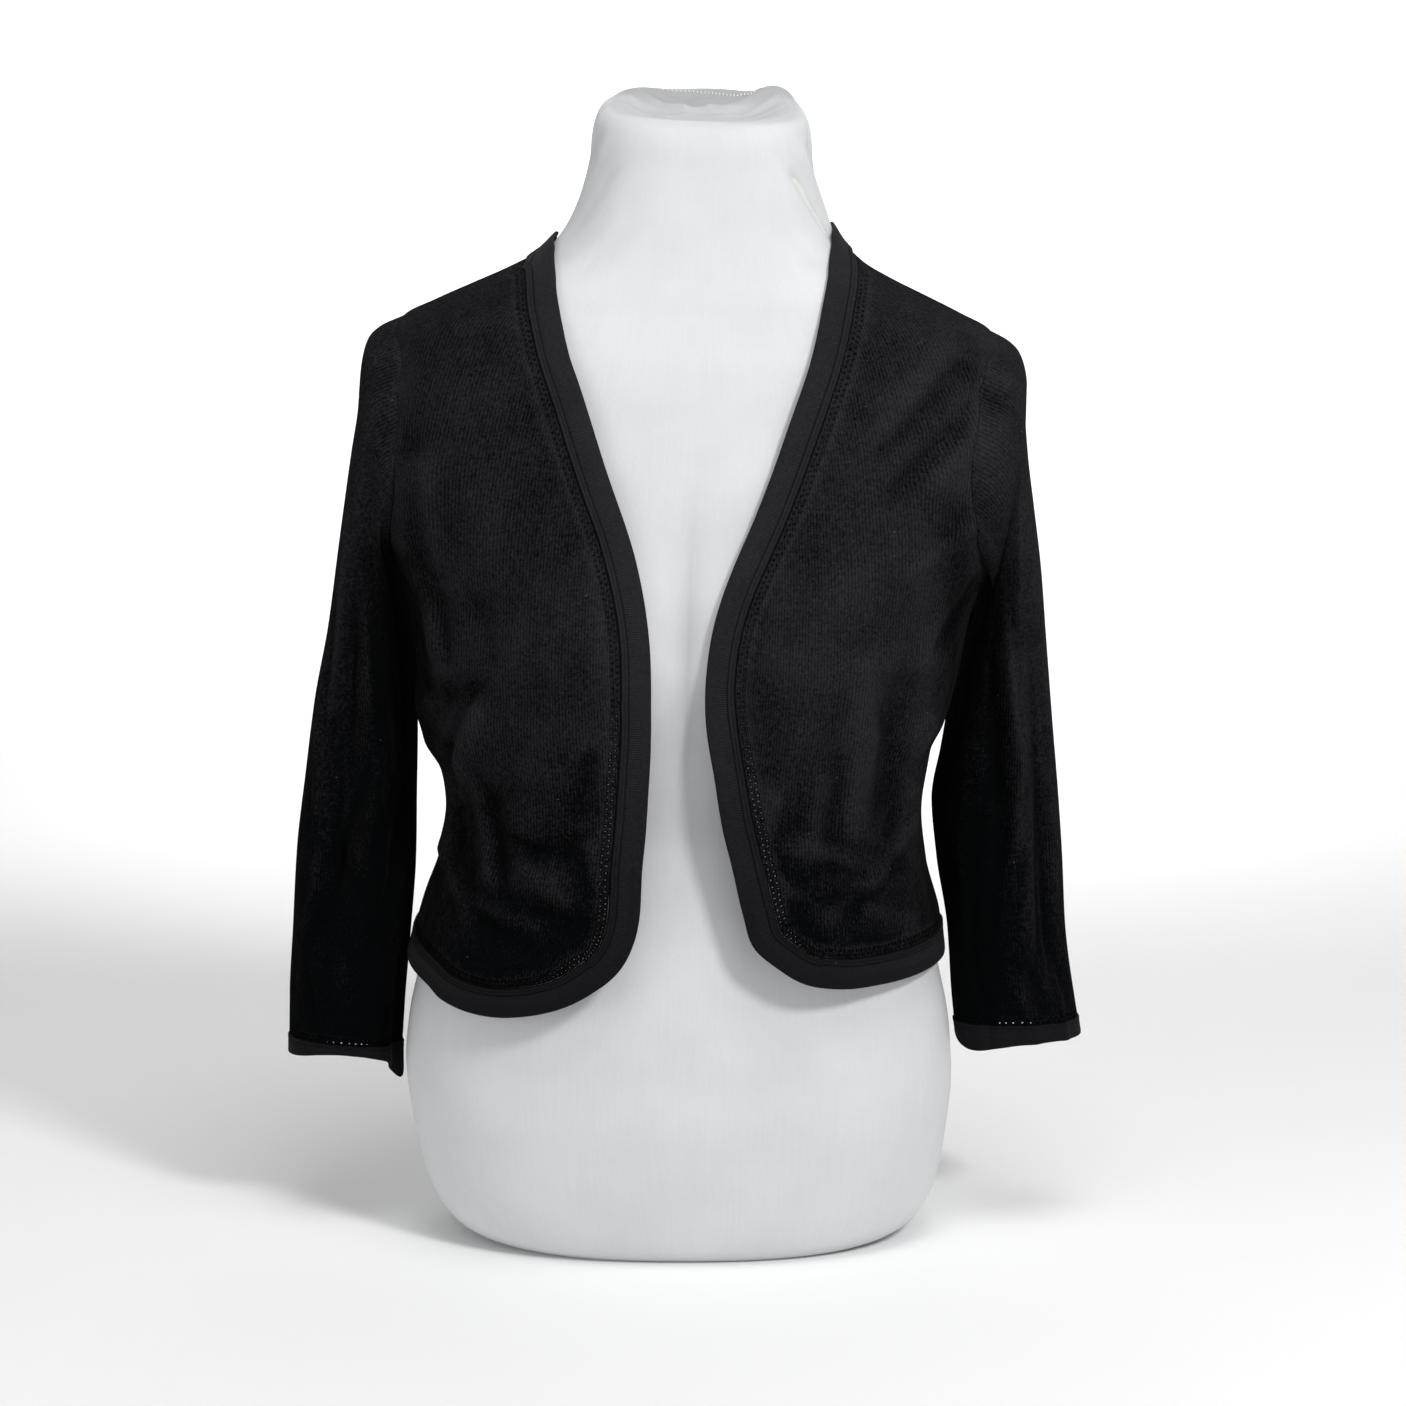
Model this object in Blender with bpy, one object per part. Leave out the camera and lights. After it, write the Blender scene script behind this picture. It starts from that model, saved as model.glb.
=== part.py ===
"""A cropped, open-fronted cardigan with three-quarter sleeves, on a limbless dress form.

Metres, +Z up, the front faces -Y and +X is to the right of someone facing it. The origin is on the
floor, in the middle of the form's flat base. The torso is worked out standing straight, as rings by
height and by the angle round the body: 0 at the middle of the front, +90 degrees at the right side.
The form with the cardigan on it leans a little to the right, and stand() gives that lean last.
"""

from collections import namedtuple

import bpy
import numpy as np
from mathutils import Vector
from mathutils.geometry import delaunay_2d_cdt

# Cloth
KNIT_WALL = 0.002
BAND_WIDTH = 0.0185
CUFF_WIDTH = 0.0120
SEAM_GAP = 0.00036

# Across a band from its free edge to its seam: share of the width, and lift above the panel
BandLane = namedtuple("BandLane", "share lift")
BAND_PROFILE = [
    BandLane(0.00, 0.0003),
    BandLane(0.12, 0.0010),
    BandLane(0.50, 0.0011),
    BandLane(0.78, 0.0010),
    BandLane(0.90, 0.0022),
    BandLane(1.00, 0.0008),
]
BAND_INNER_SHARES = (1.0, 0.5, 0.0)

# How the form stands
LEAN = 0.026
LEAN_PIVOT_Z = 0.27
LEVEL_BELOW = 0.12

# The form's outline. side, front and back are its half sizes at each height.
FormRing = namedtuple("FormRing", "z side front back")
FORM_RINGS = [
    FormRing(0.0000, 0.1330, 0.0960, 0.0960),
    FormRing(0.0040, 0.1430, 0.1020, 0.1020),
    FormRing(0.0110, 0.1530, 0.1075, 0.1075),
    FormRing(0.0220, 0.1610, 0.1125, 0.1125),
    FormRing(0.0400, 0.1685, 0.1170, 0.1170),
    FormRing(0.0700, 0.1745, 0.1212, 0.1210),
    FormRing(0.1080, 0.1788, 0.1235, 0.1225),
    FormRing(0.1400, 0.1765, 0.1225, 0.1205),
    FormRing(0.1860, 0.1665, 0.1170, 0.1130),
    FormRing(0.2160, 0.1600, 0.1115, 0.1050),
    FormRing(0.2500, 0.1510, 0.1060, 0.0965),
    FormRing(0.2800, 0.1475, 0.1035, 0.0915),
    FormRing(0.3200, 0.1525, 0.1070, 0.0920),
    FormRing(0.3500, 0.1600, 0.1110, 0.0950),
    FormRing(0.3860, 0.1660, 0.1145, 0.1005),
    FormRing(0.4200, 0.1690, 0.1140, 0.1060),
    FormRing(0.4600, 0.1725, 0.1105, 0.1105),
    FormRing(0.5000, 0.1790, 0.1060, 0.1125),
    FormRing(0.5350, 0.1850, 0.0990, 0.1110),
    FormRing(0.5640, 0.1870, 0.0920, 0.1075),
    FormRing(0.5780, 0.1880, 0.0870, 0.1040),
    FormRing(0.5880, 0.1830, 0.0830, 0.1005),
    FormRing(0.5980, 0.1660, 0.0795, 0.0965),
    FormRing(0.6090, 0.1430, 0.0765, 0.0920),
    FormRing(0.6190, 0.1215, 0.0735, 0.0875),
    FormRing(0.6290, 0.1035, 0.0710, 0.0830),
    FormRing(0.6400, 0.0920, 0.0690, 0.0780),
    FormRing(0.6540, 0.0830, 0.0670, 0.0730),
    FormRing(0.6700, 0.0765, 0.0650, 0.0690),
    FormRing(0.6930, 0.0710, 0.0630, 0.0650),
    FormRing(0.7100, 0.0685, 0.0615, 0.0620),
    FormRing(0.7210, 0.0662, 0.0590, 0.0595),
    FormRing(0.7270, 0.0615, 0.0550, 0.0555),
    FormRing(0.7300, 0.0540, 0.0480, 0.0485),
]
SQUARENESS = 2.4
NECK_TILT = 0.26
NECK_TILT_FROM_Z = 0.66
FORM_RING_COUNT = 36
FORM_COLUMN_COUNT = 32

# Bust: a pair of low mounds, from which the fronts hang
BUST_X = 0.080
BUST_Z = 0.385
BUST_RISE = 0.030
BUST_WIDE = 0.060
BUST_UP = 0.078
FORM_BUST_DOWN = 0.062
CLOTH_BUST_DOWN = 0.210

# How far the outside of the cloth stands off the form, square to its surface
Ease = namedtuple("Ease", "z left right front back")
EASES = [
    Ease(0.140, 0.0095, 0.0060, 0.0150, 0.0090),
    Ease(0.186, 0.0095, 0.0055, 0.0170, 0.0100),
    Ease(0.216, 0.0085, 0.0070, 0.0185, 0.0120),
    Ease(0.240, 0.0070, 0.0065, 0.0200, 0.0150),
    Ease(0.270, 0.0062, 0.0062, 0.0200, 0.0180),
    Ease(0.300, 0.0090, 0.0052, 0.0175, 0.0185),
    Ease(0.322, 0.0180, 0.0055, 0.0145, 0.0170),
    Ease(0.342, 0.0185, 0.0095, 0.0115, 0.0150),
    Ease(0.362, 0.0135, 0.0100, 0.0085, 0.0130),
    Ease(0.386, 0.0120, 0.0105, 0.0065, 0.0105),
    Ease(0.410, 0.0125, 0.0125, 0.0055, 0.0080),
    Ease(0.428, 0.0170, 0.0185, 0.0052, 0.0065),
    Ease(0.442, 0.0215, 0.0225, 0.0050, 0.0055),
    Ease(0.470, 0.0265, 0.0265, 0.0050, 0.0050),
    Ease(0.500, 0.0260, 0.0260, 0.0050, 0.0050),
    Ease(0.535, 0.0200, 0.0200, 0.0050, 0.0050),
    Ease(0.560, 0.0120, 0.0120, 0.0050, 0.0050),
    Ease(0.578, 0.0070, 0.0070, 0.0050, 0.0050),
    Ease(0.600, 0.0036, 0.0036, 0.0036, 0.0036),
    Ease(0.660, 0.0033, 0.0033, 0.0033, 0.0033),
]
EASE_ROUND = 3.0

# The opening edge, as seen from the front: x is the distance from the middle line
EdgePoint = namedtuple("EdgePoint", "x z")
HEM_SIDE_Z = {"left": 0.1800, "right": 0.1905}
NECK_SIDE_Z = {"left": 0.6520, "right": 0.6560}
OPENING_EDGE = {
    "left": [
        EdgePoint(0.1640, 0.1720),
        EdgePoint(0.1500, 0.1640),
        EdgePoint(0.1300, 0.1600),
        EdgePoint(0.1060, 0.1611),
        EdgePoint(0.0755, 0.1692),
        EdgePoint(0.0520, 0.1822),
        EdgePoint(0.0345, 0.1994),
        EdgePoint(0.0262, 0.2240),
        EdgePoint(0.0246, 0.2600),
        EdgePoint(0.0222, 0.3020),
        EdgePoint(0.0215, 0.3510),
        EdgePoint(0.0240, 0.4000),
        EdgePoint(0.0337, 0.4480),
        EdgePoint(0.0507, 0.4945),
        EdgePoint(0.0675, 0.5420),
        EdgePoint(0.0780, 0.5700),
        EdgePoint(0.0846, 0.5950),
        EdgePoint(0.0885, 0.6180),
        EdgePoint(0.0910, 0.6320),
        EdgePoint(0.0922, 0.6400),
        EdgePoint(0.0905, 0.6460),
    ],
    "right": [
        EdgePoint(0.1590, 0.1872),
        EdgePoint(0.1440, 0.1852),
        EdgePoint(0.1250, 0.1842),
        EdgePoint(0.1020, 0.1842),
        EdgePoint(0.0775, 0.1888),
        EdgePoint(0.0590, 0.1995),
        EdgePoint(0.0440, 0.2125),
        EdgePoint(0.0370, 0.2330),
        EdgePoint(0.0300, 0.2600),
        EdgePoint(0.0195, 0.3040),
        EdgePoint(0.0112, 0.3520),
        EdgePoint(0.0118, 0.3880),
        EdgePoint(0.0195, 0.4260),
        EdgePoint(0.0374, 0.4720),
        EdgePoint(0.0549, 0.5215),
        EdgePoint(0.0667, 0.5572),
        EdgePoint(0.0754, 0.5930),
        EdgePoint(0.0792, 0.6140),
        EdgePoint(0.0818, 0.6330),
        EdgePoint(0.0838, 0.6430),
        EdgePoint(0.0843, 0.6500),
    ],
}
HEM_BACK_Z = 0.1850
NECK_BACK_Z = 0.6340

# The armhole seam, in front and behind, from the shoulder down to the underarm
SHOULDER_TIP_Z = 0.5880
UNDERARM_Z = {"left": 0.4400, "right": 0.4300}
ArmholePoint = namedtuple("ArmholePoint", "drop front back")
ARMHOLE = {
    "left": [
        ArmholePoint(0.10, 0.1870, 0.1860),
        ArmholePoint(0.25, 0.1850, 0.1830),
        ArmholePoint(0.45, 0.1850, 0.1810),
        ArmholePoint(0.65, 0.1865, 0.1825),
        ArmholePoint(0.82, 0.1885, 0.1860),
        ArmholePoint(0.94, 0.1910, 0.1895),
    ],
    "right": [
        ArmholePoint(0.10, 0.1825, 0.1845),
        ArmholePoint(0.25, 0.1770, 0.1820),
        ArmholePoint(0.45, 0.1730, 0.1800),
        ArmholePoint(0.65, 0.1740, 0.1815),
        ArmholePoint(0.82, 0.1785, 0.1850),
        ArmholePoint(0.94, 0.1870, 0.1890),
    ],
}

# Largest folds of the panels: soft ridges, or troughs where the rise is negative
Fold = namedtuple("Fold", "x0 z0 x1 z1 width rise")
PANEL_FOLDS = [
    Fold(0.176, 0.560, 0.140, 0.500, 0.010, 0.0040),
    Fold(0.150, 0.575, 0.108, 0.520, 0.009, 0.0025),
    Fold(0.128, 0.370, 0.118, 0.300, 0.012, -0.0050),
    Fold(0.105, 0.385, 0.098, 0.290, 0.011, 0.0030),
    Fold(0.070, 0.275, 0.120, 0.245, 0.009, 0.0030),
    Fold(-0.140, 0.355, -0.160, 0.290, 0.012, -0.0050),
    Fold(-0.130, 0.350, -0.146, 0.260, 0.011, 0.0035),
    Fold(-0.105, 0.240, -0.075, 0.250, 0.009, 0.0030),
    Fold(-0.150, 0.500, -0.160, 0.450, 0.010, 0.0030),
]

# Sleeves: each ring spans from an outer to an inner point, seen from the front
SleeveRing = namedtuple("SleeveRing", "outer_x outer_z inner_x inner_z middle_y half_depth skew")
Numbered = namedtuple("Numbered", ("share",) + SleeveRing._fields)
SLEEVE_RINGS = {
    "left": [
        SleeveRing(0.1900, 0.5880, 0.1920, 0.4400, 0.004, 0.060, 0.000),
        SleeveRing(0.2080, 0.5780, 0.1950, 0.4300, 0.004, 0.061, -0.004),
        SleeveRing(0.2125, 0.5590, 0.1930, 0.4180, 0.005, 0.061, -0.010),
        SleeveRing(0.2140, 0.5330, 0.1895, 0.4060, 0.006, 0.060, -0.016),
        SleeveRing(0.2175, 0.5060, 0.1865, 0.3940, 0.007, 0.059, -0.021),
        SleeveRing(0.2210, 0.4770, 0.1840, 0.3810, 0.008, 0.057, -0.025),
        SleeveRing(0.2255, 0.4380, 0.1815, 0.3640, 0.008, 0.055, -0.028),
        SleeveRing(0.2312, 0.3920, 0.1800, 0.3420, 0.008, 0.052, -0.027),
        SleeveRing(0.2400, 0.3450, 0.1775, 0.3130, 0.007, 0.049, -0.019),
        SleeveRing(0.2465, 0.2950, 0.1765, 0.2780, 0.006, 0.045, -0.010),
        SleeveRing(0.2525, 0.2430, 0.1755, 0.2370, 0.004, 0.041, -0.002),
        SleeveRing(0.2550, 0.1920, 0.1775, 0.1900, 0.002, 0.037, 0.004),
        SleeveRing(0.2570, 0.1480, 0.1800, 0.1460, 0.000, 0.034, 0.008),
        SleeveRing(0.2570, 0.1195, 0.1812, 0.1190, 0.000, 0.032, 0.008),
    ],
    "right": [
        SleeveRing(0.1900, 0.5880, 0.1920, 0.4300, 0.004, 0.060, 0.000),
        SleeveRing(0.2050, 0.5790, 0.1950, 0.4210, 0.004, 0.061, -0.004),
        SleeveRing(0.2102, 0.5600, 0.1925, 0.4110, 0.005, 0.061, -0.010),
        SleeveRing(0.2100, 0.5400, 0.1890, 0.4000, 0.006, 0.060, -0.016),
        SleeveRing(0.2120, 0.5160, 0.1855, 0.3890, 0.007, 0.059, -0.022),
        SleeveRing(0.2170, 0.4820, 0.1820, 0.3760, 0.008, 0.057, -0.027),
        SleeveRing(0.2230, 0.4420, 0.1785, 0.3600, 0.008, 0.055, -0.030),
        SleeveRing(0.2285, 0.3960, 0.1735, 0.3400, 0.008, 0.052, -0.028),
        SleeveRing(0.2355, 0.3420, 0.1675, 0.3140, 0.007, 0.049, -0.020),
        SleeveRing(0.2420, 0.2960, 0.1620, 0.2840, 0.006, 0.045, -0.010),
        SleeveRing(0.2475, 0.2520, 0.1655, 0.2480, 0.004, 0.041, 0.000),
        SleeveRing(0.2520, 0.2040, 0.1735, 0.2040, 0.002, 0.037, 0.006),
        SleeveRing(0.2590, 0.1620, 0.1770, 0.1640, 0.000, 0.034, 0.010),
        SleeveRing(0.2625, 0.1440, 0.1795, 0.1440, 0.000, 0.032, 0.010),
    ],
}
SLEEVE_SQUARENESS = 2.3
SLEEVE_RING_COUNT = 23
SLEEVE_COLUMN_COUNT = 26
SEAM_BLEND = 0.22
SEAM_EASE = 0.12
SLEEVE_SEAM_GAP = 0.0006
SEAM_TURNED = -0.2
SEAM_FLUSH = 0.5

# Folds along a sleeve: turn is the angle round it, 0 outside, 90 in front, 180 inside
SleeveFold = namedtuple("SleeveFold", "top_turn low_turn top_z low_z spread rise")
SLEEVE_FOLDS = {
    "left": [
        SleeveFold(203, 203, 0.450, 0.335, 13, 0.0045),
        SleeveFold(60, 78, 0.420, 0.200, 20, -0.0130),
        SleeveFold(105, 112, 0.470, 0.170, 20, 0.0050),
        SleeveFold(160, 160, 0.190, 0.080, 12, -0.0050),
        SleeveFold(250, 240, 0.420, 0.180, 24, -0.0080),
        SleeveFold(320, 300, 0.360, 0.150, 20, -0.0060),
    ],
    "right": [
        SleeveFold(203, 203, 0.450, 0.335, 13, 0.0045),
        SleeveFold(50, 38, 0.400, 0.170, 18, -0.0110),
        SleeveFold(115, 120, 0.420, 0.300, 22, 0.0050),
        SleeveFold(250, 240, 0.400, 0.180, 24, -0.0080),
        SleeveFold(315, 300, 0.360, 0.160, 20, -0.0060),
    ],
}

# How a cuff's lower edge dips: turn, how wide round the cuff, and how far down
CuffDip = namedtuple("CuffDip", "turn spread drop")
CUFF_DIPS = {
    "left": [CuffDip(196, 26, 0.0110), CuffDip(95, 34, -0.0030)],
    "right": [CuffDip(140, 40, 0.0060), CuffDip(200, 30, -0.0030)],
}

# Spacing of the mesh
PANEL_SPACING = 0.0165
BACK_SPACING = 0.0185
BAND_SPACING = 0.0165
FLAT_RADIUS = 0.15
SHOULDER_STRETCH = 2.4
STRETCH_FROM_Z = 0.560
RIM_CLEARANCE = 0.62

SIDES = {"left": -1.0, "right": 1.0}


def smooth(rows, column, at, key="z"):
    """Reads one column of a table on a monotone cubic curve through its rows."""
    x = np.array([getattr(row, key) for row in rows], float)
    y = np.array([getattr(row, column) for row in rows], float)
    step = np.diff(x)
    rise = np.diff(y) / step
    product = rise[:-1] * rise[1:]
    inner = np.divide(2 * product, rise[:-1] + rise[1:], out=np.zeros_like(product), where=product > 0)
    slope = np.concatenate([rise[:1], inner, rise[-1:]])
    at = np.clip(at, x[0], x[-1])
    i = np.clip(np.searchsorted(x, at) - 1, 0, len(step) - 1)
    t = (at - x[i]) / step[i]
    start = (1 + 2 * t) * (1 - t) ** 2 * y[i] + t * (1 - t) ** 2 * step[i] * slope[i]
    end = t**2 * (3 - 2 * t) * y[i + 1] - t**2 * (1 - t) * step[i] * slope[i + 1]
    return start + end


def ramp(value, start, end):
    """0 before start, 1 after end, and a soft step between them."""
    t = np.clip((value - start) / (end - start), 0, 1)
    return t * t * (3 - 2 * t)


def unit(vectors):
    return vectors / np.linalg.norm(vectors, axis=-1, keepdims=True)


def stand(points):
    """Gives upright points the lean that the form stands with; its base stays level."""
    x, y, z = np.moveaxis(np.asarray(points, float), -1, 0)
    level = np.clip(z / LEVEL_BELOW, 0, 1)
    return np.stack([x + LEAN * (z - LEAN_PIVOT_Z) * level, y, z - LEAN * x * level], -1)


def torso(angle, z, bust_down):
    """Upright points of the body at the given angles and heights."""
    angle, z = np.broadcast_arrays(np.asarray(angle, float), np.asarray(z, float))
    sine, cosine = np.sin(angle), np.cos(angle)
    depth = np.where(cosine > 0, smooth(FORM_RINGS, "front", z), smooth(FORM_RINGS, "back", z))
    side = smooth(FORM_RINGS, "side", z)
    radius = (np.abs(sine / side) ** SQUARENESS + np.abs(cosine / depth) ** SQUARENESS) ** (-1 / SQUARENESS)
    x = radius * sine
    down = np.where(z < BUST_Z, bust_down, BUST_UP)
    mound = np.exp(-(((np.abs(x) - BUST_X) / BUST_WIDE) ** 2) - ((z - BUST_Z) / down) ** 2)
    y = -radius * cosine - BUST_RISE * mound * np.clip(cosine, 0, 1)
    tilt = NECK_TILT * ramp(z, NECK_TILT_FROM_Z, FORM_RINGS[-1].z)
    return np.stack([x, y, z + tilt * y], -1)


def normals_of(surface, angle, z):
    """Outward normals of a surface given by angle and height."""
    turn, climb = 1e-4, 1e-5
    across = surface(angle + turn, z) - surface(angle - turn, z)
    up = surface(angle, z + climb) - surface(angle, z - climb)
    return unit(np.cross(across, up))


def under_cloth(angle, z):
    return torso(angle, z, CLOTH_BUST_DOWN)


def ease_at(angle, z):
    side = np.where(np.sin(angle) < 0, smooth(EASES, "left", z), smooth(EASES, "right", z))
    middle = np.where(np.cos(angle) > 0, smooth(EASES, "front", z), smooth(EASES, "back", z))
    share = np.abs(np.sin(angle)) ** EASE_ROUND
    return side * share + middle * (1 - share)


def fold_rise(x, z):
    """How far the folds raise the fronts at a place seen from the front."""
    total = np.zeros_like(x)
    for fold in PANEL_FOLDS:
        run = np.array([fold.x1 - fold.x0, fold.z1 - fold.z0])
        along = ((x - fold.x0) * run[0] + (z - fold.z0) * run[1]) / (run @ run)
        nearest = np.clip(along, 0, 1)
        away = np.hypot(x - fold.x0 - nearest * run[0], z - fold.z0 - nearest * run[1])
        total += fold.rise * np.exp(-((away / fold.width) ** 2))
    return total


def cloth(angle, z):
    """Upright points on the outside of the cardigan's body."""
    angle, z = np.broadcast_arrays(np.asarray(angle, float), np.asarray(z, float))
    base = under_cloth(angle, z)
    rise = fold_rise(base[..., 0], base[..., 2]) * ramp(np.cos(angle), 0.05, 0.3)
    return base + normals_of(under_cloth, angle, z) * (ease_at(angle, z) + rise)[..., None]


def cloth_normals(angle, z):
    return normals_of(cloth, angle, z)


def find_on_cloth(x, z, behind=False):
    """The angle and height at which the cloth has the given x and z, in front or behind."""
    x, height = np.asarray(x, float), np.asarray(z, float).copy()
    goal = np.stack([x, height], -1)
    angle = np.arcsin(np.clip(x / (smooth(FORM_RINGS, "side", height) + 0.03), -0.97, 0.97))
    if behind:
        angle = np.pi - angle
    for _ in range(12):
        here = cloth(angle, height)[..., [0, 2]]
        turned = (cloth(angle + 1e-4, height)[..., [0, 2]] - here) / 1e-4
        climbed = (cloth(angle, height + 1e-5)[..., [0, 2]] - here) / 1e-5
        miss = goal - here
        area = turned[..., 0] * climbed[..., 1] - turned[..., 1] * climbed[..., 0]
        turn = (miss[..., 0] * climbed[..., 1] - miss[..., 1] * climbed[..., 0]) / area
        climb = (turned[..., 0] * miss[..., 1] - turned[..., 1] * miss[..., 0]) / area
        angle = angle + np.clip(turn, -0.2, 0.2)
        height = height + np.clip(climb, -0.02, 0.02)
    return np.stack([angle, height], -1)


def round_curve(points, per_span=12):
    """A smooth curve through points, with the ends kept."""
    points = np.asarray(points, float)
    padded = np.vstack([2 * points[0] - points[1], points, 2 * points[-1] - points[-2]])
    t = np.linspace(0, 1, per_span, endpoint=False)[:, None]
    spans = []
    for a, b, c, d in zip(padded, padded[1:], padded[2:], padded[3:]):
        bend = (2 * b) + (c - a) * t + (2 * a - 5 * b + 4 * c - d) * t**2 + (3 * b - a - 3 * c + d) * t**3
        spans.append(bend / 2)
    return np.vstack([*spans, points[-1]])


def evenly(path, spacing=None, count=None):
    """Points at even steps along a path of angles and heights, measured on the cloth."""
    solid = cloth(path[:, 0], path[:, 1])
    run = np.concatenate([[0], np.cumsum(np.linalg.norm(np.diff(solid, axis=0), axis=1))])
    if count is None:
        count = max(2, round(run[-1] / spacing) + 1)
    marks = np.linspace(0, run[-1], count)
    return np.stack([np.interp(marks, run, path[:, i]) for i in range(2)], -1)


def moved_across(path, distance, inward):
    """The path moved over the cloth, square to itself; inward is +1 or -1. Its ends keep their angle."""
    angle, z = path.T
    turned = (cloth(angle + 1e-4, z) - cloth(angle - 1e-4, z)) / 2e-4
    climbed = (cloth(angle, z + 1e-5) - cloth(angle, z - 1e-5)) / 2e-5
    along = np.gradient(cloth(angle, z), axis=0)
    across = unit(np.cross(along, cloth_normals(angle, z))) * inward
    aa = np.sum(turned * turned, 1)
    ab = np.sum(turned * climbed, 1)
    bb = np.sum(climbed * climbed, 1)
    ra = np.sum(turned * across, 1)
    rb = np.sum(climbed * across, 1)
    step = np.stack([ra * bb - rb * ab, rb * aa - ra * ab], -1) / (aa * bb - ab * ab)[:, None]
    upright = np.stack([np.zeros_like(rb), np.sign(step[:, 1]) / np.sqrt(bb)], -1)
    place = np.linspace(0, 1, len(path))
    free = (ramp(place, 0, 0.06) * ramp(1 - place, 0, 0.06))[:, None]
    return path + distance * (step * free + upright * (1 - free))


def opening_path(side):
    """The front's opening edge, from the side seam at the hem up to the shoulder seam at the neck."""
    sign = SIDES[side]
    rows = OPENING_EDGE[side]
    middle = find_on_cloth(sign * np.array([row.x for row in rows]), np.array([row.z for row in rows]))
    seam = sign * np.pi / 2
    return round_curve(np.vstack([[seam, HEM_SIDE_Z[side]], middle, [seam, NECK_SIDE_Z[side]]]))


def back_path(left_z, middle_z, right_z):
    """A level edge of the back, from the left side seam round to the right one."""
    share = np.linspace(0, 1, 25)
    ends = left_z + (right_z - left_z) * share
    dip = np.sin(np.pi * share) ** 0.8
    height = ends + (middle_z - (left_z + right_z) / 2) * dip
    return np.stack([np.pi * (1.5 - share), height], -1)


def hem_back_path():
    return back_path(HEM_SIDE_Z["left"], HEM_BACK_Z, HEM_SIDE_Z["right"])


def neck_back_path():
    return back_path(NECK_SIDE_Z["left"], NECK_BACK_Z, NECK_SIDE_Z["right"])


def armhole_path(side, behind):
    """The armhole seam from the shoulder tip to the underarm, in front or behind."""
    sign = SIDES[side]
    fall = UNDERARM_Z[side] - SHOULDER_TIP_Z
    x = sign * np.array([row.back if behind else row.front for row in ARMHOLE[side]])
    z = SHOULDER_TIP_Z + fall * np.array([row.drop for row in ARMHOLE[side]])
    middle = find_on_cloth(x, z, behind)
    seam = sign * np.pi / 2
    if behind and sign < 0:
        seam += 2 * np.pi
    tip, underarm = [seam, SHOULDER_TIP_Z], [seam, UNDERARM_Z[side]]
    return round_curve(np.vstack([tip, middle, underarm]))


def armhole_seam(side, behind):
    """Half of the armhole seam, with a point for each column of the sleeve that starts there."""
    return evenly(armhole_path(side, behind), count=SLEEVE_COLUMN_COUNT // 2 + 1)


def flat_of(path):
    """Angles and heights laid out flat, with the shoulder slope let out."""
    angle, z = path.T
    above = np.maximum(z - STRETCH_FROM_Z, 0)
    return np.stack([angle * FLAT_RADIUS, z + above * (SHOULDER_STRETCH - 1)], -1)


def unflat(flat):
    over = np.maximum(flat[:, 1] - STRETCH_FROM_Z, 0)
    return np.stack([flat[:, 0] / FLAT_RADIUS, flat[:, 1] - over * (1 - 1 / SHOULDER_STRETCH)], -1)


def far_from(points, outline):
    """The distance of each flat point from the nearest edge of a closed outline."""
    start, end = outline, np.roll(outline, -1, 0)
    run = end - start
    offset = points[:, None] - start
    share = np.clip(np.sum(offset * run, 2) / np.maximum(np.sum(run * run, 1), 1e-12), 0, 1)
    return np.linalg.norm(offset - share[..., None] * run, axis=2).min(axis=1)


def panel_mesh(outline, spacing):
    """A cut panel: flat outline filled with triangles, as angles and heights, and the faces."""
    flat = flat_of(outline)
    low, high = flat.min(axis=0), flat.max(axis=0)
    rows = int((high[1] - low[1]) / (spacing * 0.866)) + 2
    columns = int((high[0] - low[0]) / spacing) + 2
    row, column = np.mgrid[0:rows, 0:columns]
    grid = np.stack([low[0] + (column + row % 2 / 2) * spacing, low[1] + row * spacing * 0.866], -1)
    grid = grid.reshape(-1, 2)
    grid = grid[far_from(grid, flat) > spacing * RIM_CLEARANCE]
    coordinates = [Vector(point) for point in np.vstack([flat, grid])]
    made = delaunay_2d_cdt(coordinates, [], [list(range(len(flat)))], 1, 1e-7)
    points = unflat(np.array([tuple(point) for point in made[0]]))
    faces = [face for face in made[2]]
    return points, faces


def material(name, colour, roughness):
    made = bpy.data.materials.new(name)
    made.use_nodes = True
    shader = made.node_tree.nodes["Principled BSDF"]
    shader.inputs["Base Color"].default_value = (*colour, 1)
    shader.inputs["Roughness"].default_value = roughness
    shader.inputs["Metallic"].default_value = 0.0
    made.diffuse_color = (*colour, 1)
    return made


def add_object(name, points, faces, finish):
    """An object of its own from upright points, made to lean with the form."""
    mesh = bpy.data.meshes.new(name)
    mesh.from_pydata([tuple(point) for point in stand(points)], [], faces)
    mesh.validate()
    mesh.update()
    mesh.materials.append(finish)
    mesh.shade_smooth()
    mesh.set_sharp_from_angle(angle=np.radians(50))
    made = bpy.data.objects.new(name, mesh)
    bpy.context.scene.collection.objects.link(made)
    return made


def rim_of(faces):
    """The open edges of a sheet, each in the direction of its face."""
    directed = {(a, b) for face in faces for a, b in zip(face, face[1:] + face[:1])}
    return [(a, b) for a, b in directed if (b, a) not in directed]


def wall(outer, inner, faces):
    """Points and faces of a closed wall between an outer sheet and its inner copy."""
    count = len(outer)
    inside = [[index + count for index in reversed(face)] for face in faces]
    rim = [[b, a, a + count, b + count] for a, b in sorted(rim_of(faces))]
    return np.vstack([outer, inner]), [list(face) for face in faces] + inside + rim


def add_panel(name, outline, spacing, finish):
    places, faces = panel_mesh(outline, spacing)
    angle, z = places.T
    outer = cloth(angle, z)
    inner = outer - KNIT_WALL * cloth_normals(angle, z)
    if np.cross(*(flat_of(places)[faces[0]][1:] - flat_of(places)[faces[0][0]])) < 0:
        faces = [face[::-1] for face in faces]
    points, sides = wall(outer, inner, faces)
    return add_object(name, points, sides, finish)


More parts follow.
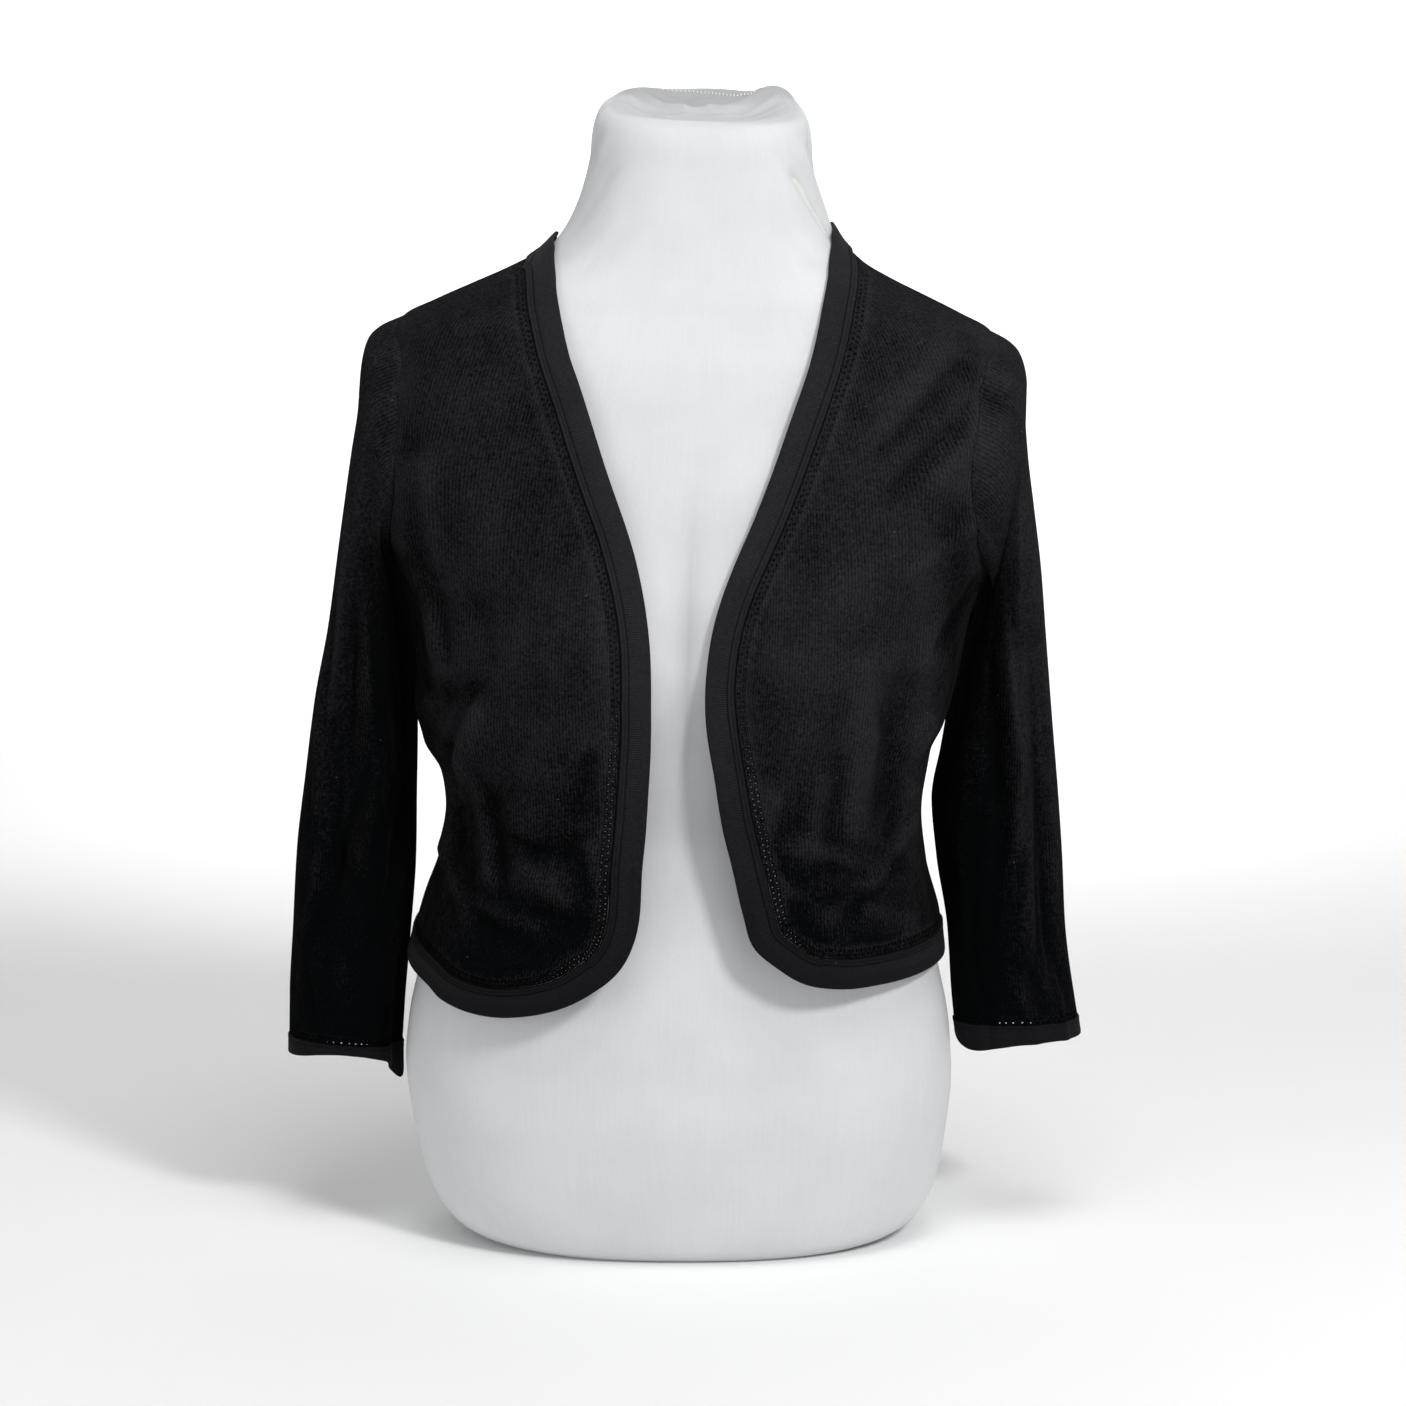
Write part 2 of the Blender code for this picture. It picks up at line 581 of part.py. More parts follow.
def strip_faces(rows, columns, closed_rows=False):
    """Faces of a grid of points, row by row, closed round its columns."""
    faces = []
    for r in range(rows if closed_rows else rows - 1):
        here, there = r * columns, (r + 1) % rows * columns
        for c in range(columns):
            d = (c + 1) % columns
            faces.append([here + c, here + d, there + d, there + c])
    return faces


def off_seams(places):
    """Angles and heights of one panel, kept half a seam gap away from the side and shoulder seams."""
    angle, z = places.T
    middle = np.pi * (np.mean(angle) > np.pi / 2)
    room = np.pi / 2 - SEAM_GAP / 2 / smooth(FORM_RINGS, "side", z)
    return np.stack([np.clip(angle, middle - room, middle + room), z], -1)


def band_line(path, share, inward):
    """The line at a share of the width across the band that runs along an edge."""
    return off_seams(moved_across(evenly(path, BAND_SPACING), share * BAND_WIDTH, inward))


def add_band(name, path, inward, finish):
    """A folded strip along an edge of the cloth, with a raised line beside its seam."""
    lanes = []
    for lane in BAND_PROFILE:
        angle, z = band_line(path, lane.share, inward).T
        lanes.append(cloth(angle, z) + lane.lift * cloth_normals(angle, z))
    for share in BAND_INNER_SHARES:
        angle, z = band_line(path, share, inward).T
        lanes.append(cloth(angle, z) - KNIT_WALL * cloth_normals(angle, z))
    points = np.stack(lanes if inward > 0 else lanes[::-1], 1)
    rows, columns = points.shape[:2]
    faces = strip_faces(rows, columns)
    first = list(range(columns))
    last = [(rows - 1) * columns + lane for lane in first]
    faces += [first[::-1], last]
    return add_object(name, points.reshape(-1, 3), faces, finish)


def seam_path(path, inward):
    """Where a panel meets the band that runs along an edge."""
    return band_line(path, 1 + SEAM_GAP / BAND_WIDTH, inward)


def front_outline(side):
    """The closed outline of a front: band seam, shoulder seam, armhole, side seam."""
    band_seam = seam_path(opening_path(side), SIDES[side])
    armhole = armhole_seam(side, False)
    shoulder = evenly(np.array([band_seam[-1], armhole[0]]), PANEL_SPACING)
    side_seam = evenly(np.array([armhole[-1], band_seam[0]]), PANEL_SPACING)
    return off_seams(np.vstack([band_seam, shoulder[1:], armhole[1:], side_seam[1:-1]]))


def back_outline():
    """The closed outline of the back, from the hem's left end round to its start."""
    hem = seam_path(hem_back_path(), 1)
    neck = seam_path(neck_back_path(), -1)
    right = armhole_seam("right", True)
    left = armhole_seam("left", True)
    edges = [
        hem,
        evenly(np.array([hem[-1], right[-1]]), BACK_SPACING)[1:],
        right[::-1][1:],
        evenly(np.array([right[0], neck[-1]]), BACK_SPACING)[1:],
        neck[::-1][1:],
        evenly(np.array([neck[0], left[0]]), BACK_SPACING)[1:],
        left[1:],
        evenly(np.array([left[-1], hem[0]]), BACK_SPACING)[1:-1],
    ]
    return off_seams(np.vstack(edges))


def armhole_ring(side):
    """Upright outer points and normals of the seam that a sleeve starts from, a column for each turn."""
    places = np.vstack([armhole_seam(side, False)[:-1], armhole_seam(side, True)[:0:-1]])
    angle, z = places.T
    return cloth(angle, z), cloth_normals(angle, z)


def sleeve_fold_rise(side, turn, z):
    total = np.zeros_like(z)
    for fold in SLEEVE_FOLDS[side]:
        share = np.clip((fold.top_z - z) / (fold.top_z - fold.low_z), 0, 1)
        centre = fold.top_turn + (fold.low_turn - fold.top_turn) * share
        away = (turn - centre + 180) % 360 - 180
        reach = ramp(z, fold.low_z - 0.03, fold.low_z + 0.03) * ramp(-z, -fold.top_z - 0.04, -fold.top_z + 0.04)
        total += fold.rise * reach * np.exp(-((away / fold.spread) ** 2))
    return total


def sleeve_ring(side, row_share):
    """Upright points of one sleeve ring, and its outward directions; row_share runs from 0 to 1."""
    rows = SLEEVE_RINGS[side]
    numbered = [Numbered(i / (len(rows) - 1), *row) for i, row in enumerate(rows)]
    values = {name: smooth(numbered, name, row_share, "share") for name in SleeveRing._fields}
    turn = np.arange(SLEEVE_COLUMN_COUNT) * 2 * np.pi / SLEEVE_COLUMN_COUNT
    cosine, sine = np.cos(turn), np.sin(turn)
    power = 2 / SLEEVE_SQUARENESS
    across = np.sign(cosine) * np.abs(cosine) ** power
    deep = np.sign(sine) * np.abs(sine) ** power
    x = (values["outer_x"] + values["inner_x"]) / 2 + (values["outer_x"] - values["inner_x"]) / 2 * across
    z = (values["outer_z"] + values["inner_z"]) / 2 + (values["outer_z"] - values["inner_z"]) / 2 * across
    y = values["middle_y"] - values["half_depth"] * deep + values["skew"] * across
    ring = np.stack([SIDES[side] * x, y, z], -1)
    centre = ring.mean(axis=0)
    outward = unit(ring - centre)
    return ring + outward * sleeve_fold_rise(side, np.degrees(turn), z)[:, None]


def sleeve_rings(side, shares):
    """Rings of points for the given shares of the sleeve, the first ones eased onto the armhole seam."""
    seam, _ = armhole_ring(side)
    start = sleeve_ring(side, 0.0)
    rings = []
    for share in shares:
        pull = 1 - ramp(share, 0, SEAM_BLEND)
        rings.append(sleeve_ring(side, share) + (seam - start) * pull)
    return np.array(rings)


def ring_normals(rings, outward_sign):
    along = np.gradient(rings, axis=0)
    around = np.roll(rings, -1, 1) - np.roll(rings, 1, 1)
    return unit(np.cross(along, around)) * outward_sign


def add_tube(name, outer, inner, finish, flip):
    """An open tube wall from rings of outer and inner points."""
    rows, columns = outer.shape[:2]
    points = np.vstack([outer.reshape(-1, 3), inner.reshape(-1, 3)])
    count = rows * columns
    faces = strip_faces(rows, columns)
    inside = [[index + count for index in face[::-1]] for face in faces]
    last = (rows - 1) * columns
    rims = []
    for c in range(columns):
        d = (c + 1) % columns
        rims.append([d, c, c + count, d + count])
        rims.append([last + c, last + d, last + d + count, last + c + count])
    sides = faces + inside + rims
    if flip:
        sides = [face[::-1] for face in sides]
    return add_object(name, points, sides, finish)


def into_armhole(seam, normals):
    """Directions along the cloth, square to the armhole seam and away from the panels."""
    along = np.roll(seam, -1, 0) - np.roll(seam, 1, 0)
    across = unit(np.cross(along, normals))
    inward = np.sum(across * (seam.mean(axis=0) - seam), axis=1, keepdims=True)
    return across * np.sign(inward)


def add_sleeve(side, finish, cuff_finish):
    sign = SIDES[side]
    shares = np.linspace(0, 1, SLEEVE_RING_COUNT)
    rings = sleeve_rings(side, shares)
    _, seam_normals = armhole_ring(side)
    normals = ring_normals(rings, -sign)
    agree = np.sum(normals[0] * seam_normals, axis=1, keepdims=True)
    flush = ramp(agree, SEAM_TURNED, SEAM_FLUSH)
    start_normals = unit(seam_normals * flush + normals[0] * (1 - flush))
    blend = ramp(shares, 0, SEAM_EASE)[:, None, None]
    normals = unit(normals * blend + start_normals * (1 - blend))
    outer = rings.copy()
    outer[0] += SLEEVE_SEAM_GAP * (into_armhole(rings[0], seam_normals) + seam_normals * (1 - flush))
    inner = outer - KNIT_WALL * normals
    add_tube("sleeve_" + side, outer, inner, finish, sign < 0)
    add_cuff(side, rings, normals, cuff_finish)


def add_cuff(side, rings, normals, finish):
    """The folded strip at the sleeve's end, with a raised line beside its seam."""
    down = unit((rings[-1] - rings[-3]).mean(axis=0))
    turn = np.arange(SLEEVE_COLUMN_COUNT) * 360 / SLEEVE_COLUMN_COUNT
    dip = np.zeros(SLEEVE_COLUMN_COUNT)
    for row in CUFF_DIPS[side]:
        away = (turn - row.turn + 180) % 360 - 180
        dip += row.drop * np.exp(-((away / row.spread) ** 2))
    outer, inner = [], []
    for lane in BAND_PROFILE[::-1]:
        fall = SEAM_GAP + (1 - lane.share) * (CUFF_WIDTH + dip)
        place = rings[-1] + down * fall[:, None]
        outer.append(place + lane.lift * normals[-1])
        inner.append(place - KNIT_WALL * normals[-1])
    add_tube("cuff_" + side, np.array(outer), np.array(inner), finish, SIDES[side] < 0)


def add_form(finish):
    """The dress form: one closed body from its flat base to the cap of the neck."""
    spread = np.linspace(0, 1, FORM_RING_COUNT)
    heights = np.interp(spread, np.linspace(0, 1, len(FORM_RINGS)), [ring.z for ring in FORM_RINGS])
    angle = np.arange(FORM_COLUMN_COUNT) * 2 * np.pi / FORM_COLUMN_COUNT
    rings = np.array([torso(angle, height, FORM_BUST_DOWN) for height in heights])
    faces = strip_faces(FORM_RING_COUNT, FORM_COLUMN_COUNT)
    base = len(rings) * FORM_COLUMN_COUNT
    middle = rings[-1].mean(axis=0) + [0, 0, 0.0015]
    points = np.vstack([rings.reshape(-1, 3), middle])
    top = base - FORM_COLUMN_COUNT
    cap = [[top + c, top + (c + 1) % FORM_COLUMN_COUNT, base] for c in range(FORM_COLUMN_COUNT)]
    bottom = [list(range(FORM_COLUMN_COUNT))[::-1]]
    add_object("dress_form", points, faces + cap + bottom, finish)


def clear_scene():
    for old in list(bpy.data.objects):
        bpy.data.objects.remove(old, do_unlink=True)


def main():
    clear_scene()
    knit = material("black_knit", (0.012, 0.012, 0.014), 0.9)
    trim = material("black_trim", (0.016, 0.016, 0.019), 0.85)
    jersey = material("white_jersey", (0.80, 0.80, 0.81), 0.8)
    add_form(jersey)
    add_panel("back", back_outline(), BACK_SPACING, knit)
    for side, sign in SIDES.items():
        add_panel("front_" + side, front_outline(side), PANEL_SPACING, knit)
        add_band("band_" + side, opening_path(side), sign, trim)
        add_sleeve(side, knit, trim)
    add_band("band_hem_back", hem_back_path(), 1, trim)
    add_band("band_neck", neck_back_path(), -1, trim)


main()
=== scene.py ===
"""Looks of the cropped black cardigan on its white jersey-covered dress form.

The shape is worked out as in the part: rings by height and by angle round the body, standing
straight, with 0 at the middle of the front and +90 degrees at the right side, and stand() gives the
lean last. Here the cloth is finer, with its creases, eyelets, ridges and knit.
"""

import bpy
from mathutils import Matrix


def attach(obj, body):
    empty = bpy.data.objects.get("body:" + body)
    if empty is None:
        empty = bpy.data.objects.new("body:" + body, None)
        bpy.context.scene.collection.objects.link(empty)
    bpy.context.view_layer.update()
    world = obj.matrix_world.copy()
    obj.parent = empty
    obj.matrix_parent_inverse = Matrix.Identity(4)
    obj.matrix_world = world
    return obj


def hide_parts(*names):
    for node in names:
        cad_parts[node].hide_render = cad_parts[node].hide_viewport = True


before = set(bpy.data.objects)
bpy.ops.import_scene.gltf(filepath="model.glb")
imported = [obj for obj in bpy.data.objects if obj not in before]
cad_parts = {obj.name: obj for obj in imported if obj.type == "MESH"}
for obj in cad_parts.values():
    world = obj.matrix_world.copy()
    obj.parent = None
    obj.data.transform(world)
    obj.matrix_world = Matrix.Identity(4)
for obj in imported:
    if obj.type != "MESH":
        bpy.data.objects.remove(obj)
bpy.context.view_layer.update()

from collections import namedtuple

import bpy
import numpy as np
from mathutils import Vector
from mathutils.geometry import delaunay_2d_cdt


def table(kind, rows):
    """Rows of bare numbers as named ones."""
    return [kind(*row) for row in rows]


# Cloth
KNIT_WALL = 0.0014
BAND_WIDTH = 0.0185
CUFF_WIDTH = 0.0120
SEAM_GAP = 0.0001

# Across a band from its folded edge to its seam: share of the width, and lift above the panel
BandLane = namedtuple("BandLane", "share lift")
BAND_PROFILE = table(BandLane, [
    (0.000, -0.0006), (0.010, 0.0002), (0.034, 0.0008), (0.080, 0.0011), (0.200, 0.0012),
    (0.380, 0.0011), (0.560, 0.0011), (0.700, 0.0010), (0.735, 0.0005), (0.765, 0.0009),
    (0.800, 0.0013), (0.835, 0.0010), (0.860, 0.0006), (0.890, 0.0012), (0.925, 0.0014),
    (0.955, 0.0006), (0.980, -0.0004), (1.000, -0.0008),
])
BAND_INNER_SHARES = (1.0, 0.66, 0.33, 0.012)

# Two rows of eyelets beside each band, knitted into the panels and the sleeve ends
EYELET_PITCH = 0.0038
EYELET_RADIUS = 0.00055
EYELET_ROWS = (0.0016, 0.0042)
EYELET_ROW_HEIGHT = 0.0026
EYELET_STRIP = 0.0055
EYELET_DIP = 0.00055
EYELET_SIDES = 8
EYELET_LINES = 6

# How the form stands
LEAN = 0.026
LEAN_PIVOT_Z = 0.27
LEVEL_BELOW = 0.12

# The form's outline. side, front and back are its half sizes at each height.
FormRing = namedtuple("FormRing", "z side front back")
FORM_RINGS = table(FormRing, [
    (0.0000, 0.1330, 0.0960, 0.0960), (0.0040, 0.1430, 0.1020, 0.1020),
    (0.0110, 0.1530, 0.1075, 0.1075), (0.0220, 0.1610, 0.1125, 0.1125),
    (0.0400, 0.1685, 0.1170, 0.1170), (0.0700, 0.1745, 0.1212, 0.1210),
    (0.1080, 0.1788, 0.1235, 0.1225), (0.1400, 0.1765, 0.1225, 0.1205),
    (0.1860, 0.1665, 0.1170, 0.1130), (0.2160, 0.1600, 0.1115, 0.1050),
    (0.2500, 0.1510, 0.1060, 0.0965), (0.2800, 0.1475, 0.1035, 0.0915),
    (0.3200, 0.1525, 0.1070, 0.0920), (0.3500, 0.1600, 0.1110, 0.0950),
    (0.3860, 0.1660, 0.1145, 0.1005), (0.4200, 0.1690, 0.1140, 0.1060),
    (0.4600, 0.1725, 0.1105, 0.1105), (0.5000, 0.1790, 0.1060, 0.1125),
    (0.5350, 0.1850, 0.0990, 0.1110), (0.5640, 0.1870, 0.0920, 0.1075),
    (0.5780, 0.1880, 0.0870, 0.1040), (0.5880, 0.1830, 0.0830, 0.1005),
    (0.5980, 0.1660, 0.0795, 0.0965), (0.6090, 0.1430, 0.0765, 0.0920),
    (0.6190, 0.1215, 0.0735, 0.0875), (0.6290, 0.1035, 0.0710, 0.0830),
    (0.6400, 0.0920, 0.0690, 0.0780), (0.6540, 0.0830, 0.0670, 0.0730),
    (0.6700, 0.0765, 0.0650, 0.0690), (0.6930, 0.0710, 0.0630, 0.0650),
    (0.7100, 0.0685, 0.0615, 0.0620), (0.7192, 0.0662, 0.0590, 0.0595),
    (0.7248, 0.0618, 0.0552, 0.0557), (0.7276, 0.0552, 0.0488, 0.0493),
])
SQUARENESS = 2.4
NECK_TILT = 0.26
NECK_TILT_FROM_Z = 0.66
FORM_RING_COUNT = 190
FORM_COLUMN_COUNT = 180

# Bust: a pair of low mounds, from which the fronts hang
BUST_X = 0.080
BUST_Z = 0.385
BUST_RISE = 0.030
BUST_WIDE = 0.060
BUST_UP = 0.078
FORM_BUST_DOWN = 0.062
CLOTH_BUST_DOWN = 0.210

# How far the outside of the cloth stands off the form, square to its surface
Ease = namedtuple("Ease", "z left right front back")
EASES = table(Ease, [
    (0.140, 0.0095, 0.0060, 0.0150, 0.0090), (0.186, 0.0095, 0.0055, 0.0170, 0.0100),
    (0.216, 0.0085, 0.0070, 0.0185, 0.0120), (0.240, 0.0070, 0.0065, 0.0200, 0.0150),
    (0.270, 0.0062, 0.0062, 0.0200, 0.0180), (0.300, 0.0090, 0.0052, 0.0175, 0.0185),
    (0.322, 0.0180, 0.0055, 0.0145, 0.0170), (0.342, 0.0185, 0.0095, 0.0115, 0.0150),
    (0.362, 0.0135, 0.0100, 0.0085, 0.0130), (0.386, 0.0120, 0.0105, 0.0065, 0.0105),
    (0.410, 0.0125, 0.0125, 0.0055, 0.0080), (0.428, 0.0170, 0.0185, 0.0052, 0.0065),
    (0.442, 0.0215, 0.0225, 0.0050, 0.0055), (0.470, 0.0265, 0.0265, 0.0050, 0.0050),
    (0.500, 0.0260, 0.0260, 0.0050, 0.0050), (0.535, 0.0200, 0.0200, 0.0050, 0.0050),
    (0.560, 0.0120, 0.0120, 0.0050, 0.0050), (0.578, 0.0070, 0.0070, 0.0050, 0.0050),
    (0.600, 0.0036, 0.0036, 0.0036, 0.0036), (0.630, 0.0033, 0.0033, 0.0033, 0.0033),
    (0.656, 0.0021, 0.0021, 0.0021, 0.0024),
])
EASE_ROUND = 3.0

# The opening edge, as seen from the front: x is the distance from the middle line
EdgePoint = namedtuple("EdgePoint", "x z")
HEM_SIDE_Z = {"left": 0.1800, "right": 0.1905}
NECK_SIDE_Z = {"left": 0.6447, "right": 0.6560}
OPENING_EDGE = {
    "left": table(EdgePoint, [
        (0.1640, 0.1720), (0.1500, 0.1640), (0.1300, 0.1600), (0.1060, 0.1611), (0.0755, 0.1692),
        (0.0520, 0.1822), (0.0345, 0.1994), (0.0262, 0.2240), (0.0246, 0.2600), (0.0222, 0.3020),
        (0.0215, 0.3510), (0.0240, 0.4000), (0.0337, 0.4480), (0.0507, 0.4945), (0.0675, 0.5420),
        (0.0780, 0.5700), (0.0846, 0.5950), (0.0885, 0.6180), (0.0910, 0.6320), (0.0920, 0.6390),
    ]),
    "right": table(EdgePoint, [
        (0.1590, 0.1872), (0.1440, 0.1852), (0.1250, 0.1842), (0.1020, 0.1842), (0.0775, 0.1888),
        (0.0590, 0.1995), (0.0440, 0.2125), (0.0370, 0.2330), (0.0300, 0.2600), (0.0195, 0.3040),
        (0.0112, 0.3520), (0.0118, 0.3880), (0.0195, 0.4260), (0.0374, 0.4720), (0.0549, 0.5215),
        (0.0667, 0.5572), (0.0754, 0.5930), (0.0792, 0.6140), (0.0818, 0.6330), (0.0838, 0.6430),
        (0.0843, 0.6500),
    ]),
}
HEM_BACK_Z = 0.1850
NECK_BACK_Z = 0.6340
BACK_PATH_COUNT = 25
BACK_DIP_POWER = 0.8

# The armhole seam, in front and behind, from the shoulder down to the underarm
SHOULDER_TIP_Z = 0.5880
UNDERARM_Z = {"left": 0.4400, "right": 0.4300}
ArmholePoint = namedtuple("ArmholePoint", "drop front back")
ARMHOLE = {
    "left": table(ArmholePoint, [
        (0.10, 0.1870, 0.1860), (0.25, 0.1850, 0.1830), (0.45, 0.1850, 0.1810), (0.65, 0.1865, 0.1825),
        (0.82, 0.1885, 0.1860), (0.94, 0.1910, 0.1895),
    ]),
    "right": table(ArmholePoint, [
        (0.10, 0.1825, 0.1845), (0.25, 0.1770, 0.1820), (0.45, 0.1730, 0.1800), (0.65, 0.1740, 0.1815),
        (0.82, 0.1785, 0.1850), (0.94, 0.1870, 0.1890),
    ]),
}

# Folds of the fronts, seen from the front: soft ridges, or troughs where the rise is negative
Fold = namedtuple("Fold", "x0 z0 x1 z1 width rise")
FRONT_FOLDS = table(Fold, [
    (0.176, 0.560, 0.140, 0.500, 0.010, 0.0046), (0.168, 0.552, 0.120, 0.490, 0.0055, -0.0054),
    (0.150, 0.575, 0.108, 0.520, 0.009, 0.0029), (0.158, 0.566, 0.112, 0.513, 0.0050, -0.0029),
    (0.1750, 0.5200, 0.1500, 0.4700, 0.006, 0.0029), (0.1640, 0.5000, 0.1440, 0.4640, 0.005, -0.0026),
    (0.1560, 0.4700, 0.1260, 0.4400, 0.006, 0.0019), (0.128, 0.370, 0.118, 0.300, 0.012, -0.0057),
    (0.1165, 0.358, 0.1235, 0.320, 0.006, -0.0026), (0.105, 0.385, 0.098, 0.290, 0.011, 0.0034),
    (0.070, 0.275, 0.120, 0.245, 0.009, 0.0034), (0.0800, 0.2605, 0.1030, 0.2530, 0.0032, -0.0029),
    (0.0670, 0.2365, 0.0900, 0.2405, 0.0030, -0.0024), (0.0950, 0.2800, 0.1240, 0.2690, 0.0050, 0.0019),
    (0.0485, 0.4263, 0.0298, 0.3280, 0.0060, -0.0019),
    (0.0298, 0.3280, 0.0420, 0.2600, 0.0050, -0.0014), (0.0700, 0.3500, 0.0560, 0.2900, 0.0090, 0.0014),
    (0.1400, 0.3000, 0.1300, 0.2300, 0.0070, 0.0018), (-0.140, 0.355, -0.160, 0.290, 0.012, -0.0057),
    (-0.1230, 0.3640, -0.1417, 0.3113, 0.0050, -0.0048), (-0.130, 0.350, -0.146, 0.260, 0.011, 0.0040),
    (-0.1205, 0.3580, -0.1320, 0.2915, 0.0050, 0.0026), (-0.105, 0.240, -0.075, 0.250, 0.009, 0.0034),
    (-0.0998, 0.2730, -0.0840, 0.2660, 0.0030, -0.0027),
    (-0.0840, 0.2660, -0.0700, 0.2675, 0.0030, -0.0029),
    (-0.0700, 0.2675, -0.0610, 0.2828, 0.0030, -0.0024),
    (-0.0598, 0.3300, -0.0674, 0.2950, 0.0038, -0.0022),
    (-0.1540, 0.4950, -0.1520, 0.4440, 0.0040, -0.0016),
    (-0.1480, 0.4900, -0.1450, 0.4380, 0.0040, 0.0016), (-0.150, 0.500, -0.160, 0.450, 0.010, 0.0034),
    (-0.1720, 0.5300, -0.1560, 0.5050, 0.0060, -0.0022),
    (-0.0550, 0.4476, -0.0440, 0.3600, 0.0055, -0.0018),
    (-0.0440, 0.3600, -0.0400, 0.2650, 0.0050, -0.0014),
    (-0.0900, 0.3300, -0.0980, 0.2700, 0.0080, 0.0011),
    (-0.1300, 0.2200, -0.0900, 0.2050, 0.0060, -0.0019),
    (-0.1150, 0.4900, -0.1200, 0.4300, 0.0120, 0.0007),
    (0.1620, 0.4300, 0.1480, 0.3950, 0.0050, -0.0032), (0.1500, 0.4150, 0.1380, 0.3850, 0.0040, 0.0026),
    (0.1440, 0.3450, 0.1290, 0.2950, 0.0050, 0.0038), (0.1380, 0.3200, 0.1180, 0.2750, 0.0045, -0.0032),
    (0.1340, 0.2800, 0.1080, 0.2450, 0.0060, 0.0032), (0.1240, 0.2550, 0.0960, 0.2280, 0.0045, -0.0029),
    (0.0900, 0.3300, 0.0840, 0.2800, 0.0050, -0.0032), (0.0780, 0.3200, 0.0720, 0.2700, 0.0045, 0.0026),
    (0.0620, 0.2500, 0.0860, 0.2280, 0.0050, 0.0029), (0.1060, 0.2300, 0.1360, 0.2200, 0.0050, 0.0026),
    (0.1000, 0.2160, 0.1280, 0.2080, 0.0040, -0.0022), (0.0560, 0.3100, 0.0480, 0.2550, 0.0050, 0.0022),
    (-0.1560, 0.4300, -0.1500, 0.3850, 0.0045, 0.0035),
    (-0.1480, 0.4200, -0.1430, 0.3800, 0.0040, -0.0035),
    (-0.1640, 0.4000, -0.1540, 0.3600, 0.0045, -0.0032),
    (-0.1350, 0.3250, -0.1320, 0.2600, 0.0050, -0.0035),
    (-0.1200, 0.3050, -0.1120, 0.2450, 0.0045, 0.0032),
    (-0.1080, 0.2950, -0.1010, 0.2350, 0.0045, -0.0032),
    (-0.0900, 0.2550, -0.0700, 0.2350, 0.0050, 0.0029),
    (-0.0820, 0.2280, -0.0560, 0.2200, 0.0045, -0.0026),
    (-0.1450, 0.2500, -0.1250, 0.2150, 0.0050, 0.0032),
    (-0.1150, 0.2250, -0.0850, 0.2180, 0.0045, 0.0022),
    (-0.0620, 0.2850, -0.0520, 0.2450, 0.0045, 0.0026),
    (-0.1250, 0.4150, -0.1150, 0.3850, 0.0060, -0.0019),
])
BACK_FOLDS = table(Fold, [
    (-0.170, 0.545, -0.110, 0.470, 0.010, 0.0030), (-0.158, 0.525, -0.112, 0.455, 0.006, -0.0026),
    (0.165, 0.545, 0.105, 0.475, 0.010, 0.0028), (0.150, 0.528, 0.108, 0.462, 0.006, -0.0024),
    (-0.060, 0.400, -0.075, 0.230, 0.012, 0.0034), (-0.040, 0.390, -0.050, 0.240, 0.008, -0.0030),
    (0.055, 0.395, 0.070, 0.225, 0.012, 0.0032), (0.030, 0.380, 0.042, 0.235, 0.008, -0.0028),
    (0.000, 0.350, 0.004, 0.230, 0.010, 0.0021), (-0.110, 0.330, -0.085, 0.280, 0.007, -0.0021),
    (0.115, 0.325, 0.085, 0.270, 0.007, -0.0021), (-0.080, 0.600, 0.075, 0.598, 0.012, 0.0011),
])

# The folds fade out toward the side seams, between these cosines of the angle from the middle
FOLD_FADE = (0.05, 0.3)

# Slight unevenness of worn knit: waves round the body and up it, and how high they are
Wave = namedtuple("Wave", "turns climbs phase rise")
CLOTH_WAVES = table(Wave, [
    (11.0, 38.0, 0.4, 0.00030), (-17.0, 61.0, 1.9, 0.00022), (27.0, 90.0, 4.1, 0.00014),
    (-7.0, 110.0, 2.6, 0.00020), (39.0, -47.0, 0.9, 0.00010),
])
WAVES_START_Z = (0.16, 0.24)
WAVES_END_Z = (0.60, 0.52)

